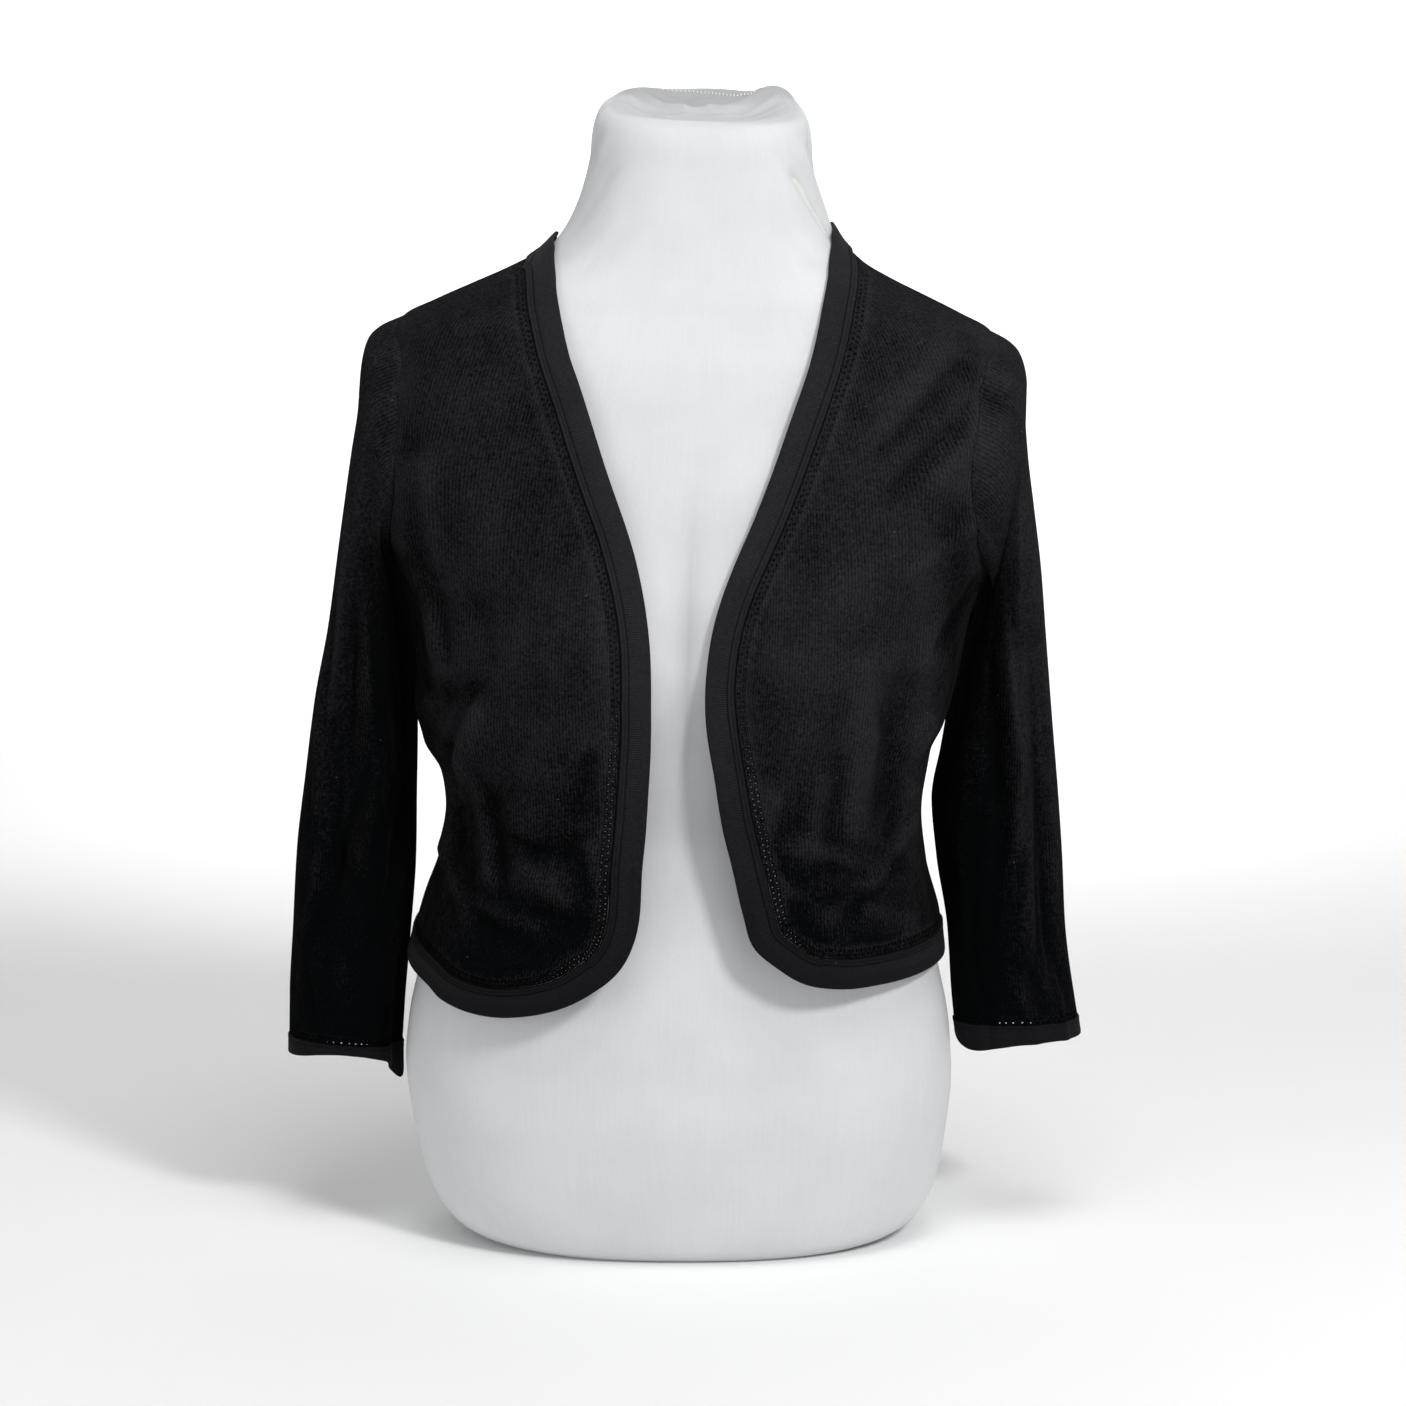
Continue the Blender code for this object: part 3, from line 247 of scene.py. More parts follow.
# Sleeves: each ring spans from an outer to an inner point, seen from the front
SleeveRing = namedtuple("SleeveRing", "outer_x outer_z inner_x inner_z middle_y half_depth skew")
Numbered = namedtuple("Numbered", ("share",) + SleeveRing._fields)
SLEEVE_RINGS = {
    "left": table(SleeveRing, [
        (0.1900, 0.5880, 0.1920, 0.4400, 0.004, 0.060, 0.000),
        (0.2080, 0.5780, 0.1950, 0.4300, 0.004, 0.061, -0.004),
        (0.2125, 0.5590, 0.1930, 0.4180, 0.005, 0.061, -0.010),
        (0.2140, 0.5330, 0.1895, 0.4060, 0.006, 0.060, -0.016),
        (0.2175, 0.5060, 0.1865, 0.3940, 0.007, 0.059, -0.021),
        (0.2210, 0.4770, 0.1840, 0.3810, 0.008, 0.057, -0.025),
        (0.2255, 0.4380, 0.1815, 0.3640, 0.008, 0.055, -0.028),
        (0.2312, 0.3920, 0.1800, 0.3420, 0.008, 0.052, -0.027),
        (0.2400, 0.3450, 0.1775, 0.3130, 0.007, 0.049, -0.019),
        (0.2465, 0.2950, 0.1765, 0.2780, 0.006, 0.045, -0.010),
        (0.2525, 0.2430, 0.1755, 0.2370, 0.004, 0.041, -0.002),
        (0.2550, 0.1920, 0.1775, 0.1900, 0.002, 0.037, 0.004),
        (0.2570, 0.1480, 0.1800, 0.1460, 0.000, 0.034, 0.008),
        (0.2570, 0.1195, 0.1812, 0.1190, 0.000, 0.032, 0.008),
    ]),
    "right": table(SleeveRing, [
        (0.1900, 0.5880, 0.1920, 0.4300, 0.004, 0.060, 0.000),
        (0.2050, 0.5790, 0.1950, 0.4210, 0.004, 0.061, -0.004),
        (0.2102, 0.5600, 0.1925, 0.4110, 0.005, 0.061, -0.010),
        (0.2100, 0.5400, 0.1890, 0.4000, 0.006, 0.060, -0.016),
        (0.2120, 0.5160, 0.1855, 0.3890, 0.007, 0.059, -0.022),
        (0.2170, 0.4820, 0.1820, 0.3760, 0.008, 0.057, -0.027),
        (0.2230, 0.4420, 0.1785, 0.3600, 0.008, 0.055, -0.030),
        (0.2285, 0.3960, 0.1735, 0.3400, 0.008, 0.052, -0.028),
        (0.2355, 0.3420, 0.1675, 0.3140, 0.007, 0.049, -0.020),
        (0.2420, 0.2960, 0.1620, 0.2840, 0.006, 0.045, -0.010),
        (0.2475, 0.2520, 0.1655, 0.2480, 0.004, 0.041, 0.000),
        (0.2520, 0.2040, 0.1735, 0.2040, 0.002, 0.037, 0.006),
        (0.2590, 0.1620, 0.1770, 0.1640, 0.000, 0.034, 0.010),
        (0.2625, 0.1440, 0.1795, 0.1440, 0.000, 0.032, 0.010),
    ]),
}
SLEEVE_SQUARENESS = 2.3
SLEEVE_RING_COUNT = 150
SLEEVE_COLUMN_COUNT = 120
SEAM_BLEND = 0.22
SEAM_EASE = 0.12
SLEEVE_SEAM_GAP = 0.0006

# Folds along a sleeve: turn is the angle round it, 0 outside, 90 in front, 180 inside
SleeveFold = namedtuple("SleeveFold", "top_turn low_turn top_z low_z spread rise")
SLEEVE_FADE = (0.03, 0.04)
SLEEVE_FOLDS = {
    "left": table(SleeveFold, [
        (88, 104, 0.400, 0.300, 6, 0.0039), (76, 90, 0.380, 0.280, 6, -0.0039),
        (116, 96, 0.330, 0.230, 6, 0.0036), (100, 74, 0.300, 0.220, 5, -0.0033),
        (64, 46, 0.270, 0.180, 6, 0.0033), (130, 112, 0.250, 0.180, 6, -0.0033),
        (84, 100, 0.185, 0.130, 6, 0.0027), (48, 66, 0.180, 0.130, 6, -0.0027),
        (30, 44, 0.420, 0.320, 7, -0.0030), (110, 128, 0.470, 0.410, 6, 0.0033),
        (226, 206, 0.500, 0.355, 19, 0.0105), (203, 203, 0.450, 0.335, 13, 0.0045),
        (60, 78, 0.420, 0.200, 20, -0.0130), (105, 112, 0.470, 0.170, 20, 0.0050),
        (160, 160, 0.190, 0.080, 12, -0.0050), (250, 240, 0.420, 0.180, 24, -0.0080),
        (320, 300, 0.360, 0.150, 20, -0.0060), (38, 50, 0.460, 0.340, 7, 0.0024),
        (124, 140, 0.500, 0.360, 7, -0.0033), (138, 150, 0.440, 0.300, 6, 0.0024),
        (150, 128, 0.300, 0.250, 6, -0.0027), (70, 110, 0.262, 0.205, 7, -0.0030),
        (50, 96, 0.236, 0.190, 7, 0.0024), (96, 60, 0.200, 0.150, 6, -0.0021),
        (20, 40, 0.330, 0.260, 7, -0.0021), (215, 235, 0.470, 0.330, 9, 0.0039),
        (285, 262, 0.330, 0.200, 8, 0.0030), (335, 350, 0.480, 0.380, 9, -0.0024),
    ]),
    "right": table(SleeveFold, [
        (92, 76, 0.410, 0.320, 6, 0.0039), (104, 90, 0.390, 0.290, 6, -0.0039),
        (68, 86, 0.340, 0.250, 6, 0.0036), (80, 104, 0.300, 0.220, 5, -0.0033),
        (120, 138, 0.290, 0.200, 6, 0.0033), (52, 66, 0.270, 0.190, 6, -0.0036),
        (96, 80, 0.200, 0.140, 6, 0.0030), (130, 116, 0.190, 0.135, 6, -0.0027),
        (34, 22, 0.400, 0.300, 7, -0.0030), (128, 140, 0.360, 0.300, 6, -0.0030),
        (40, 52, 0.180, 0.135, 6, 0.0027), (226, 206, 0.500, 0.355, 19, 0.0105),
        (203, 203, 0.450, 0.335, 13, 0.0045), (50, 38, 0.400, 0.170, 18, -0.0110),
        (115, 120, 0.420, 0.300, 22, 0.0050), (250, 240, 0.400, 0.180, 24, -0.0080),
        (315, 300, 0.360, 0.160, 20, -0.0060), (150, 118, 0.450, 0.395, 8, 0.0039),
        (140, 104, 0.425, 0.375, 6, -0.0033), (96, 84, 0.330, 0.250, 7, -0.0027),
        (150, 126, 0.270, 0.215, 7, -0.0030), (70, 84, 0.250, 0.185, 7, 0.0023),
        (24, 30, 0.300, 0.200, 7, 0.0027), (110, 70, 0.215, 0.165, 6, -0.0019),
        (62, 78, 0.500, 0.400, 7, 0.0018), (210, 232, 0.460, 0.320, 9, 0.0036),
        (282, 262, 0.320, 0.200, 8, 0.0027), (335, 350, 0.470, 0.370, 9, -0.0023),
    ]),
}

# How a cuff's lower edge dips: turn, how wide round the cuff, and how far down
CuffDip = namedtuple("CuffDip", "turn spread drop")
CUFF_DIPS = {
    "left": [CuffDip(178, 21, 0.0120), CuffDip(95, 46, -0.0060)],
    "right": [CuffDip(140, 40, 0.0060), CuffDip(200, 30, -0.0030)],
}

# Steps in angle and height for slopes, and the search for the place on the cloth seen at an x and z
TURN_STEP = 1e-4
CLIMB_STEP = 1e-5
SEARCH_ROUNDS = 12
SEARCH_TURN = 0.2
SEARCH_CLIMB = 0.02
SEARCH_EASE = 0.03
SEARCH_SINE = 0.97

# Spacing of the mesh, and how the panels are laid out flat
PANEL_SPACING = 0.0042
BACK_SPACING = 0.0050
BAND_SPACING = 0.0030
FLAT_RADIUS = 0.15
SHOULDER_STRETCH = 2.4
STRETCH_FROM_Z = 0.560
RIM_CLEARANCE = 0.62
TRIANGLE_HEIGHT = 0.866
BAND_END_SHARE = 0.06
SHARP_ANGLE = 62

# How far the cuffs' profile stands off, against the bands', and how many of the sleeve's last rings say
# which way a cuff hangs
CUFF_LIFT_SHARE = 0.7
CUFF_HANGS_BY = 12
# How well sleeve and body agree in direction at the armhole, as a cosine, where their seam starts to lie
# flush and where it lies flush
FLUSH_SEAM = (-0.2, 0.5)

# The jersey cover and the padded core under it
COVER_WALL = 0.0006
END_CLEAR = 0.0002
CORE_SHARE = 0.985
CORE_TOP_DROP = 0.014
CORE_RING_COUNT = 70
CORE_COLUMN_COUNT = 48

# The cap of the cover on the neck's top. Its folds are seen from above, so that z is the depth here.
CAP_RING_COUNT = 33
CAP_MIDDLE_Y = 0.004
CAP_MIDDLE_DROP = 0.0035
CAP_SAG = 0.0038
CAP_SAG_SHARE = 1.15
CAP_FOLD_FROM = 0.12
CAP_FOLDS = table(Fold, [
    (0.044, 0.031, 0.004, 0.019, 0.0034, 0.0020), (0.047, 0.021, 0.014, -0.005, 0.0030, 0.0014),
    (0.038, 0.036, -0.006, 0.033, 0.0026, 0.0015), (0.050, 0.008, 0.026, -0.016, 0.0030, 0.0011),
    (-0.044, 0.031, -0.012, 0.013, 0.0034, 0.0018), (-0.047, 0.019, -0.022, -0.011, 0.0028, 0.0014),
    (-0.036, 0.037, -0.002, 0.027, 0.0024, 0.0012), (-0.050, 0.004, -0.034, -0.020, 0.0028, 0.0010),
    (-0.028, -0.024, 0.022, -0.028, 0.0040, 0.0010), (-0.030, 0.005, 0.026, 0.003, 0.0080, -0.0016),
    (0.010, 0.026, -0.024, 0.022, 0.0040, -0.0010),
])
# The row of stitches on the cap: its turns in degrees, and how far inside the rim it ends and starts
STITCHED_TURNS = (132, 212)
STITCH_INSETS = (0.0045, 0.0125)
STITCH_COUNT = 25
STITCH_HALF_TURN = 0.010
STITCH_RADIUS = 0.0008
STITCH_LIFT = 0.0007
STITCH_END_SHARE = 0.35
STITCH_RINGS = 5
STITCH_SIDES = 6

# Pulls of the cover beside the neck, and lumps on its rim
COVER_FADE = (0.012, 0.008)
Pull = namedtuple("Pull", "top_turn top_z low_turn low_z spread rise")
NECK_PULLS = table(Pull, [
    (62, 0.708, 84, 0.656, 4.5, 0.0021), (52, 0.690, 74, 0.640, 4.0, -0.0016),
    (44, 0.668, 64, 0.622, 5.0, 0.0008), (-58, 0.712, -76, 0.660, 4.5, 0.0013),
    (-48, 0.690, -66, 0.640, 5.0, -0.0008), (-40, 0.660, -58, 0.615, 5.5, 0.0008),
    (120, 0.710, 100, 0.660, 5.0, 0.0012), (-124, 0.710, -104, 0.660, 5.0, 0.0012),
    (-112, 0.729, -82, 0.702, 5.0, 0.0015), (-98, 0.728, -66, 0.706, 4.5, -0.0011),
    (-84, 0.724, -62, 0.700, 4.0, 0.0009), (112, 0.729, 86, 0.702, 5.0, 0.0013),
    (98, 0.728, 72, 0.706, 4.5, -0.0010), (160, 0.712, 150, 0.670, 5.0, 0.0009),
    (-165, 0.712, -150, 0.670, 5.0, 0.0009),
])
Lump = namedtuple("Lump", "turn z spread tall rise up")
RIM_LUMPS = table(Lump, [
    (126, 0.7246, 13, 0.0070, 0.0050, 0.0032), (-130, 0.7240, 18, 0.0070, 0.0038, 0.0004),
    (172, 0.7266, 30, 0.0050, 0.0004, 0.0010),
])

# How deep a full crease is, and how widely the cloth around it is averaged to tell
CREASE_DEEP = 0.0022
CREASE_ROUNDS = 45

# Finishes: stitch sizes in metres, colours as light that comes back
WALE = 0.0019
COURSE = 0.00095
TRIM_LINE = 0.0014
TRIM_STITCH_LINE = 0.0138
TRIM_STITCH_WIDE = 0.0007
RIB_ZONE = (0.0070, 0.0080, 0.0128, 0.0138)
TRIM_COURSE = 0.0009
JERSEY_WALE = 0.0009
# Painted shade in the groove of the band's seam, where it starts and where it is full
SEAM_SHADE_FROM = 0.0013
SEAM_SHADE_FULL = 0.0005
LINT_SCALE = 170.0
LINT_SPECK = (0.05, 0.11)
LINT_CHANCE = (0.955, 0.975)
KNIT_DARK = (0.0016, 0.0020, 0.0022, 1)
KNIT_LIGHT = (0.0255, 0.0244, 0.0276, 1)
TRIM_DARK = (0.0058, 0.0055, 0.0066, 1)
TRIM_LIGHT = (0.0260, 0.0245, 0.0280, 1)
GROOVE_SHADE_BLACK = (0.0006, 0.0006, 0.0008, 1)
LINT_COLOUR = (0.20, 0.19, 0.19, 1)
COVER_PAINTED_SHADE = (0.36, 0.37, 0.38, 1)
JERSEY_SHADE = (0.60, 0.614, 0.628, 1)
JERSEY_WHITE = (0.685, 0.697, 0.704, 1)
FOAM_DARK = (0.62, 0.61, 0.58, 1)
FOAM_LIGHT = (0.74, 0.73, 0.70, 1)
THREAD_DARK = (0.86, 0.86, 0.86, 1)
THREAD_LIGHT = (0.97, 0.97, 0.97, 1)
FLOOR_DARK = (0.94, 0.94, 0.94, 1)
FLOOR_LIGHT = (0.96, 0.96, 0.96, 1)
KNIT_SHEEN = (0.62, 0.60, 0.63, 1)
TRIM_SHEEN = (0.64, 0.61, 0.64, 1)

# Noises of the finishes: scale, detail, roughness
KNIT_FUZZ = (2600.0, 3.0, 0.6)
TRIM_FUZZ = (2400.0, 3.0, 0.6)
GRAIN = (520.0, 4.0, 0.75)
MOTTLE = (30.0, 4.0, 0.6)
KNIT_CRUMPLE = (52.0, 3.0, 0.5)
KNIT_SOFT = (190.0, 3.0, 0.55)
TRIM_SOFT = (240.0, 3.0, 0.55)
JERSEY_GRAIN = (900.0, 4.0, 0.65)
JERSEY_PATCH = (16.0, 3.0, 0.55)
FOAM_PORES = (420.0, 4.0, 0.6)
THREAD_TWIST = (1800.0, 2.0, 0.5)

# Painted light and shade on the black: lighter higher up and darker toward the hem, where less light
# falls; and painted shade under the arms and on the sleeves below the underarm
KNIT_PAINTED_LIGHT_Z = (0.16, 0.42)
TRIM_PAINTED_LIGHT_Z = (0.10, 0.42)
SHADE_BODY_SIDE_X = (0.150, 0.172)
SHADE_SLEEVE_X = (0.192, 0.214)
UNDERARM_SHADE_END_Z = (0.41, 0.50)
KNIT_LEVEL = 1.50
TRIM_LEVEL = 1.08

# Painted shade on the cover: greyer behind its rim at the back, and over the rim on the cap's recessed
# top
CAP_SHADE_BEHIND_ALONG = (-0.016, -0.007)
CAP_SHADE_BEHIND_Y = (0.012, 0.030)
CAP_SHADE_OVER_ALONG = (0.0, 0.007)

# The studio
CAMERA_DOWN = 7.0
CAMERA_PLACE = (0.012, -2.08435, 0.60093)
CAMERA_LENS = 82.72
CAMERA_SENSOR = 36.0
SWEEP_REACH = 12.0
SWEEP_BACK = 1.6
SWEEP_ROUND = 0.8
SWEEP_TOP = 3.4
WORLD_LIGHT = 0.34
Lamp = namedtuple("Lamp", "name x y z size watts aim_y aim_z")
LAMPS = [
    Lamp("key", 1.30, -1.9, 1.95, 0.5, 38.0, 0.0, 0.38),
    Lamp("second", -1.9, -1.6, 0.6, 1.2, 7.5, 0.0, 0.12),
    Lamp("top", 0.2, -0.8, 2.6, 1.2, 20.0, 0.0, 0.2),
    Lamp("backdrop", 0.0, 1.6, 1.5, 1.2, 16.0, 2.4, 1.05),
]

SIDES = {"left": -1.0, "right": 1.0}
UP = np.array([0, 0, 1.0])
TAU = 2 * np.pi
TOP_Z = FORM_RINGS[-1].z

Sheet = namedtuple("Sheet", "outer inner faces cut outward")


def smooth(rows, column, at, key="z"):
    """Reads one column of a table on a monotone cubic curve through its rows."""
    x = np.array([getattr(row, key) for row in rows], float)
    y = np.array([getattr(row, column) for row in rows], float)
    step = np.diff(x)
    rise = np.diff(y) / step
    product = rise[:-1] * rise[1:]
    inner = np.divide(2 * product, rise[:-1] + rise[1:], out=np.zeros_like(product), where=product > 0)
    slope = np.concatenate([rise[:1], inner, rise[-1:]])
    at = np.clip(at, x[0], x[-1])
    i = np.clip(np.searchsorted(x, at) - 1, 0, len(step) - 1)
    t = (at - x[i]) / step[i]
    start = (1 + 2 * t) * (1 - t) ** 2 * y[i] + t * (1 - t) ** 2 * step[i] * slope[i]
    end = t**2 * (3 - 2 * t) * y[i + 1] - t**2 * (1 - t) * step[i] * slope[i + 1]
    return start + end


def ramp(value, start, end):
    """0 before start, 1 after end, and a soft step between them."""
    t = np.clip((value - start) / (end - start), 0, 1)
    return t * t * (3 - 2 * t)


def hump(away, spread):
    """1 in the middle of a soft hump, and next to nothing from twice its spread on."""
    return np.exp(-((away / spread) ** 2))


def turned_from(turn, centre):
    """Degrees round from one direction to another, between -180 and 180."""
    return (turn - centre + 180) % 360 - 180


def run_along(points):
    """How far along a line of points each of them lies."""
    return np.concatenate([[0], np.cumsum(np.linalg.norm(np.diff(points, axis=0), axis=1))])


def unit(vectors):
    return vectors / np.linalg.norm(vectors, axis=-1, keepdims=True)


def stand(points):
    """Gives upright points the lean that the form stands with; its base stays level."""
    x, y, z = np.moveaxis(np.asarray(points, float), -1, 0)
    level = np.clip(z / LEVEL_BELOW, 0, 1)
    return np.stack([x + LEAN * (z - LEAN_PIVOT_Z) * level, y, z - LEAN * x * level], -1)


def torso(angle, z, bust_down):
    """Upright points of the body at the given angles and heights."""
    angle, z = np.broadcast_arrays(np.asarray(angle, float), np.asarray(z, float))
    sine, cosine = np.sin(angle), np.cos(angle)
    depth = np.where(cosine > 0, smooth(FORM_RINGS, "front", z), smooth(FORM_RINGS, "back", z))
    side = smooth(FORM_RINGS, "side", z)
    square = np.abs(sine / side) ** SQUARENESS + np.abs(cosine / depth) ** SQUARENESS
    radius = square ** (-1 / SQUARENESS)
    x = radius * sine
    down = np.where(z < BUST_Z, bust_down, BUST_UP)
    mound = np.exp(-(((np.abs(x) - BUST_X) / BUST_WIDE) ** 2) - ((z - BUST_Z) / down) ** 2)
    y = -radius * cosine - BUST_RISE * mound * np.clip(cosine, 0, 1)
    tilt = NECK_TILT * ramp(z, NECK_TILT_FROM_Z, TOP_Z)
    return np.stack([x, y, z + tilt * y], -1)


def normals_of(surface, angle, z):
    """Outward normals of a surface given by angle and height."""
    across = surface(angle + TURN_STEP, z) - surface(angle - TURN_STEP, z)
    up = surface(angle, z + CLIMB_STEP) - surface(angle, z - CLIMB_STEP)
    return unit(np.cross(across, up))


def form(angle, z):
    """Upright points of the dress form."""
    return torso(angle, z, FORM_BUST_DOWN)


def under_cloth(angle, z):
    """Upright points of the shape that the cardigan hangs round, filled out below the bust."""
    return torso(angle, z, CLOTH_BUST_DOWN)


def ease_at(angle, z):
    side = np.where(np.sin(angle) < 0, smooth(EASES, "left", z), smooth(EASES, "right", z))
    middle = np.where(np.cos(angle) > 0, smooth(EASES, "front", z), smooth(EASES, "back", z))
    share = np.abs(np.sin(angle)) ** EASE_ROUND
    return side * share + middle * (1 - share)


def fold_rise(folds, x, z):
    """How far a table of folds raises the cloth at a place, seen from the front or from above."""
    total = np.zeros_like(x)
    for fold in folds:
        run = np.array([fold.x1 - fold.x0, fold.z1 - fold.z0])
        along = ((x - fold.x0) * run[0] + (z - fold.z0) * run[1]) / (run @ run)
        nearest = np.clip(along, 0, 1)
        away = np.hypot(x - fold.x0 - nearest * run[0], z - fold.z0 - nearest * run[1])
        total += fold.rise * hump(away, fold.width)
    return total


def slanting_rise(folds, turn, z, fade):
    """How far folds that run down and round a tube raise it. They fade in and out at their ends."""
    total = np.zeros_like(z)
    for fold in folds:
        share = np.clip((fold.top_z - z) / (fold.top_z - fold.low_z), 0, 1)
        centre = fold.top_turn + (fold.low_turn - fold.top_turn) * share
        low = ramp(z, fold.low_z - fade[0], fold.low_z + fade[0])
        top = ramp(z, fold.top_z + fade[1], fold.top_z - fade[1])
        total += fold.rise * (low * top) * hump(turned_from(turn, centre), fold.spread)
    return total


def unevenness(angle, z):
    """The slight waves of worn knit."""
    total = np.zeros_like(z)
    for wave in CLOTH_WAVES:
        total += wave.rise * np.sin(wave.turns * angle + wave.climbs * z + wave.phase)
    return total * ramp(z, *WAVES_START_Z) * ramp(z, *WAVES_END_Z)


def cloth(angle, z):
    """Upright points on the outside of the cardigan's body."""
    angle, z = np.broadcast_arrays(np.asarray(angle, float), np.asarray(z, float))
    base = under_cloth(angle, z)
    facing = np.cos(angle)
    rise = fold_rise(FRONT_FOLDS, base[..., 0], base[..., 2]) * ramp(facing, *FOLD_FADE)
    rise = rise + fold_rise(BACK_FOLDS, base[..., 0], base[..., 2]) * ramp(-facing, *FOLD_FADE)
    lift = ease_at(angle, z) + rise + unevenness(angle, z)
    return base + normals_of(under_cloth, angle, z) * lift[..., None]


def cloth_normals(angle, z):
    return normals_of(cloth, angle, z)


def find_on_cloth(x, z, behind=False):
    """The angle and height at which the cloth has the given x and z, in front or behind."""
    x, height = np.asarray(x, float), np.asarray(z, float).copy()
    goal = np.stack([x, height], -1)
    sine = x / (smooth(FORM_RINGS, "side", height) + SEARCH_EASE)
    angle = np.arcsin(np.clip(sine, -SEARCH_SINE, SEARCH_SINE))
    if behind:
        angle = np.pi - angle
    for _ in range(SEARCH_ROUNDS):
        here = cloth(angle, height)[..., [0, 2]]
        turned = (cloth(angle + TURN_STEP, height)[..., [0, 2]] - here) / TURN_STEP
        climbed = (cloth(angle, height + CLIMB_STEP)[..., [0, 2]] - here) / CLIMB_STEP
        miss = goal - here
        area = turned[..., 0] * climbed[..., 1] - turned[..., 1] * climbed[..., 0]
        turn = (miss[..., 0] * climbed[..., 1] - miss[..., 1] * climbed[..., 0]) / area
        climb = (turned[..., 0] * miss[..., 1] - turned[..., 1] * miss[..., 0]) / area
        angle = angle + np.clip(turn, -SEARCH_TURN, SEARCH_TURN)
        height = height + np.clip(climb, -SEARCH_CLIMB, SEARCH_CLIMB)
    return np.stack([angle, height], -1)


def round_curve(points, per_span=12):
    """A smooth curve through points, with the ends kept."""
    points = np.asarray(points, float)
    padded = np.vstack([2 * points[0] - points[1], points, 2 * points[-1] - points[-2]])
    t = np.linspace(0, 1, per_span, endpoint=False)[:, None]
    spans = []
    for a, b, c, d in zip(padded, padded[1:], padded[2:], padded[3:]):
        bend = (2 * b) + (c - a) * t + (2 * a - 5 * b + 4 * c - d) * t**2
        spans.append((bend + (3 * b - a - 3 * c + d) * t**3) / 2)
    return np.vstack([*spans, points[-1]])


def evenly(path, spacing=None, count=None):
    """Points at even steps along a path of angles and heights, measured on the cloth."""
    run = run_along(cloth(path[:, 0], path[:, 1]))
    if count is None:
        count = max(2, round(run[-1] / spacing) + 1)
    marks = np.linspace(0, run[-1], count)
    return np.stack([np.interp(marks, run, path[:, i]) for i in range(2)], -1)


def straight(start, end, spacing):
    """A straight seam from one angle and height to another, without its first point."""
    return evenly(np.array([start, end]), spacing)[1:]


def moved_across(path, distance, inward):
    """The path moved over the cloth, square to itself; inward is +1 or -1. Ends keep their angle."""
    angle, z = path.T
    turned = (cloth(angle + TURN_STEP, z) - cloth(angle - TURN_STEP, z)) / (2 * TURN_STEP)
    climbed = (cloth(angle, z + CLIMB_STEP) - cloth(angle, z - CLIMB_STEP)) / (2 * CLIMB_STEP)
    along = np.gradient(cloth(angle, z), axis=0)
    across = unit(np.cross(along, cloth_normals(angle, z))) * inward
    # The step in angle and height that goes one metre across, from the products of the slopes
    aa = np.sum(turned * turned, 1)
    ab = np.sum(turned * climbed, 1)
    bb = np.sum(climbed * climbed, 1)
    ra = np.sum(turned * across, 1)
    rb = np.sum(climbed * across, 1)
    step = np.stack([ra * bb - rb * ab, rb * aa - ra * ab], -1) / (aa * bb - ab * ab)[:, None]
    upright = np.stack([np.zeros_like(rb), np.sign(step[:, 1]) / np.sqrt(bb)], -1)
    place = np.linspace(0, 1, len(path))
    free = (ramp(place, 0, BAND_END_SHARE) * ramp(1 - place, 0, BAND_END_SHARE))[:, None]
    return path + distance * (step * free + upright * (1 - free))


def opening_path(side):
    """The front's opening edge, from the side seam at the hem up to the shoulder seam at the neck."""
    sign = SIDES[side]
    rows = OPENING_EDGE[side]
    x, z = (np.array([getattr(row, name) for row in rows]) for name in EdgePoint._fields)
    middle = find_on_cloth(sign * x, z)
    seam = sign * np.pi / 2
    return round_curve(np.vstack([[seam, HEM_SIDE_Z[side]], middle, [seam, NECK_SIDE_Z[side]]]))


def back_path(left_z, middle_z, right_z):
    """A level edge of the back, from the left side seam round to the right one."""
    share = np.linspace(0, 1, BACK_PATH_COUNT)
    ends = left_z + (right_z - left_z) * share
    dip = np.sin(np.pi * share) ** BACK_DIP_POWER
    height = ends + (middle_z - (left_z + right_z) / 2) * dip
    return np.stack([np.pi * (1.5 - share), height], -1)


def hem_back_path():
    return back_path(HEM_SIDE_Z["left"], HEM_BACK_Z, HEM_SIDE_Z["right"])


def neck_back_path():
    return back_path(NECK_SIDE_Z["left"], NECK_BACK_Z, NECK_SIDE_Z["right"])


def armhole_path(side, behind):
    """The armhole seam from the shoulder tip to the underarm, in front or behind."""
    sign = SIDES[side]
    fall = UNDERARM_Z[side] - SHOULDER_TIP_Z
    x = sign * np.array([row.back if behind else row.front for row in ARMHOLE[side]])
    z = SHOULDER_TIP_Z + fall * np.array([row.drop for row in ARMHOLE[side]])
    middle = find_on_cloth(x, z, behind)
    seam = sign * np.pi / 2
    if behind and sign < 0:
        seam += 2 * np.pi
    tip, underarm = [seam, SHOULDER_TIP_Z], [seam, UNDERARM_Z[side]]
    return round_curve(np.vstack([tip, middle, underarm]))


def armhole_seam(side, behind):
    """Half of the armhole seam, with a point for each column of the sleeve that starts there."""
    return evenly(armhole_path(side, behind), count=SLEEVE_COLUMN_COUNT // 2 + 1)


def flat_of(path):
    """Angles and heights laid out flat, with the shoulder slope let out."""
    angle, z = path.T
    above = np.maximum(z - STRETCH_FROM_Z, 0)
    return np.stack([angle * FLAT_RADIUS, z + above * (SHOULDER_STRETCH - 1)], -1)


def unflat(flat):
    over = np.maximum(flat[:, 1] - STRETCH_FROM_Z, 0)
    return np.stack([flat[:, 0] / FLAT_RADIUS, flat[:, 1] - over * (1 - 1 / SHOULDER_STRETCH)], -1)


def far_from(points, outline):
    """The distance of each flat point from the nearest edge of a closed outline."""
    start, end = outline, np.roll(outline, -1, 0)
    run = end - start
    offset = points[:, None] - start
    share = np.clip(np.sum(offset * run, 2) / np.maximum(np.sum(run * run, 1), 1e-12), 0, 1)
    return np.linalg.norm(offset - share[..., None] * run, axis=2).min(axis=1)


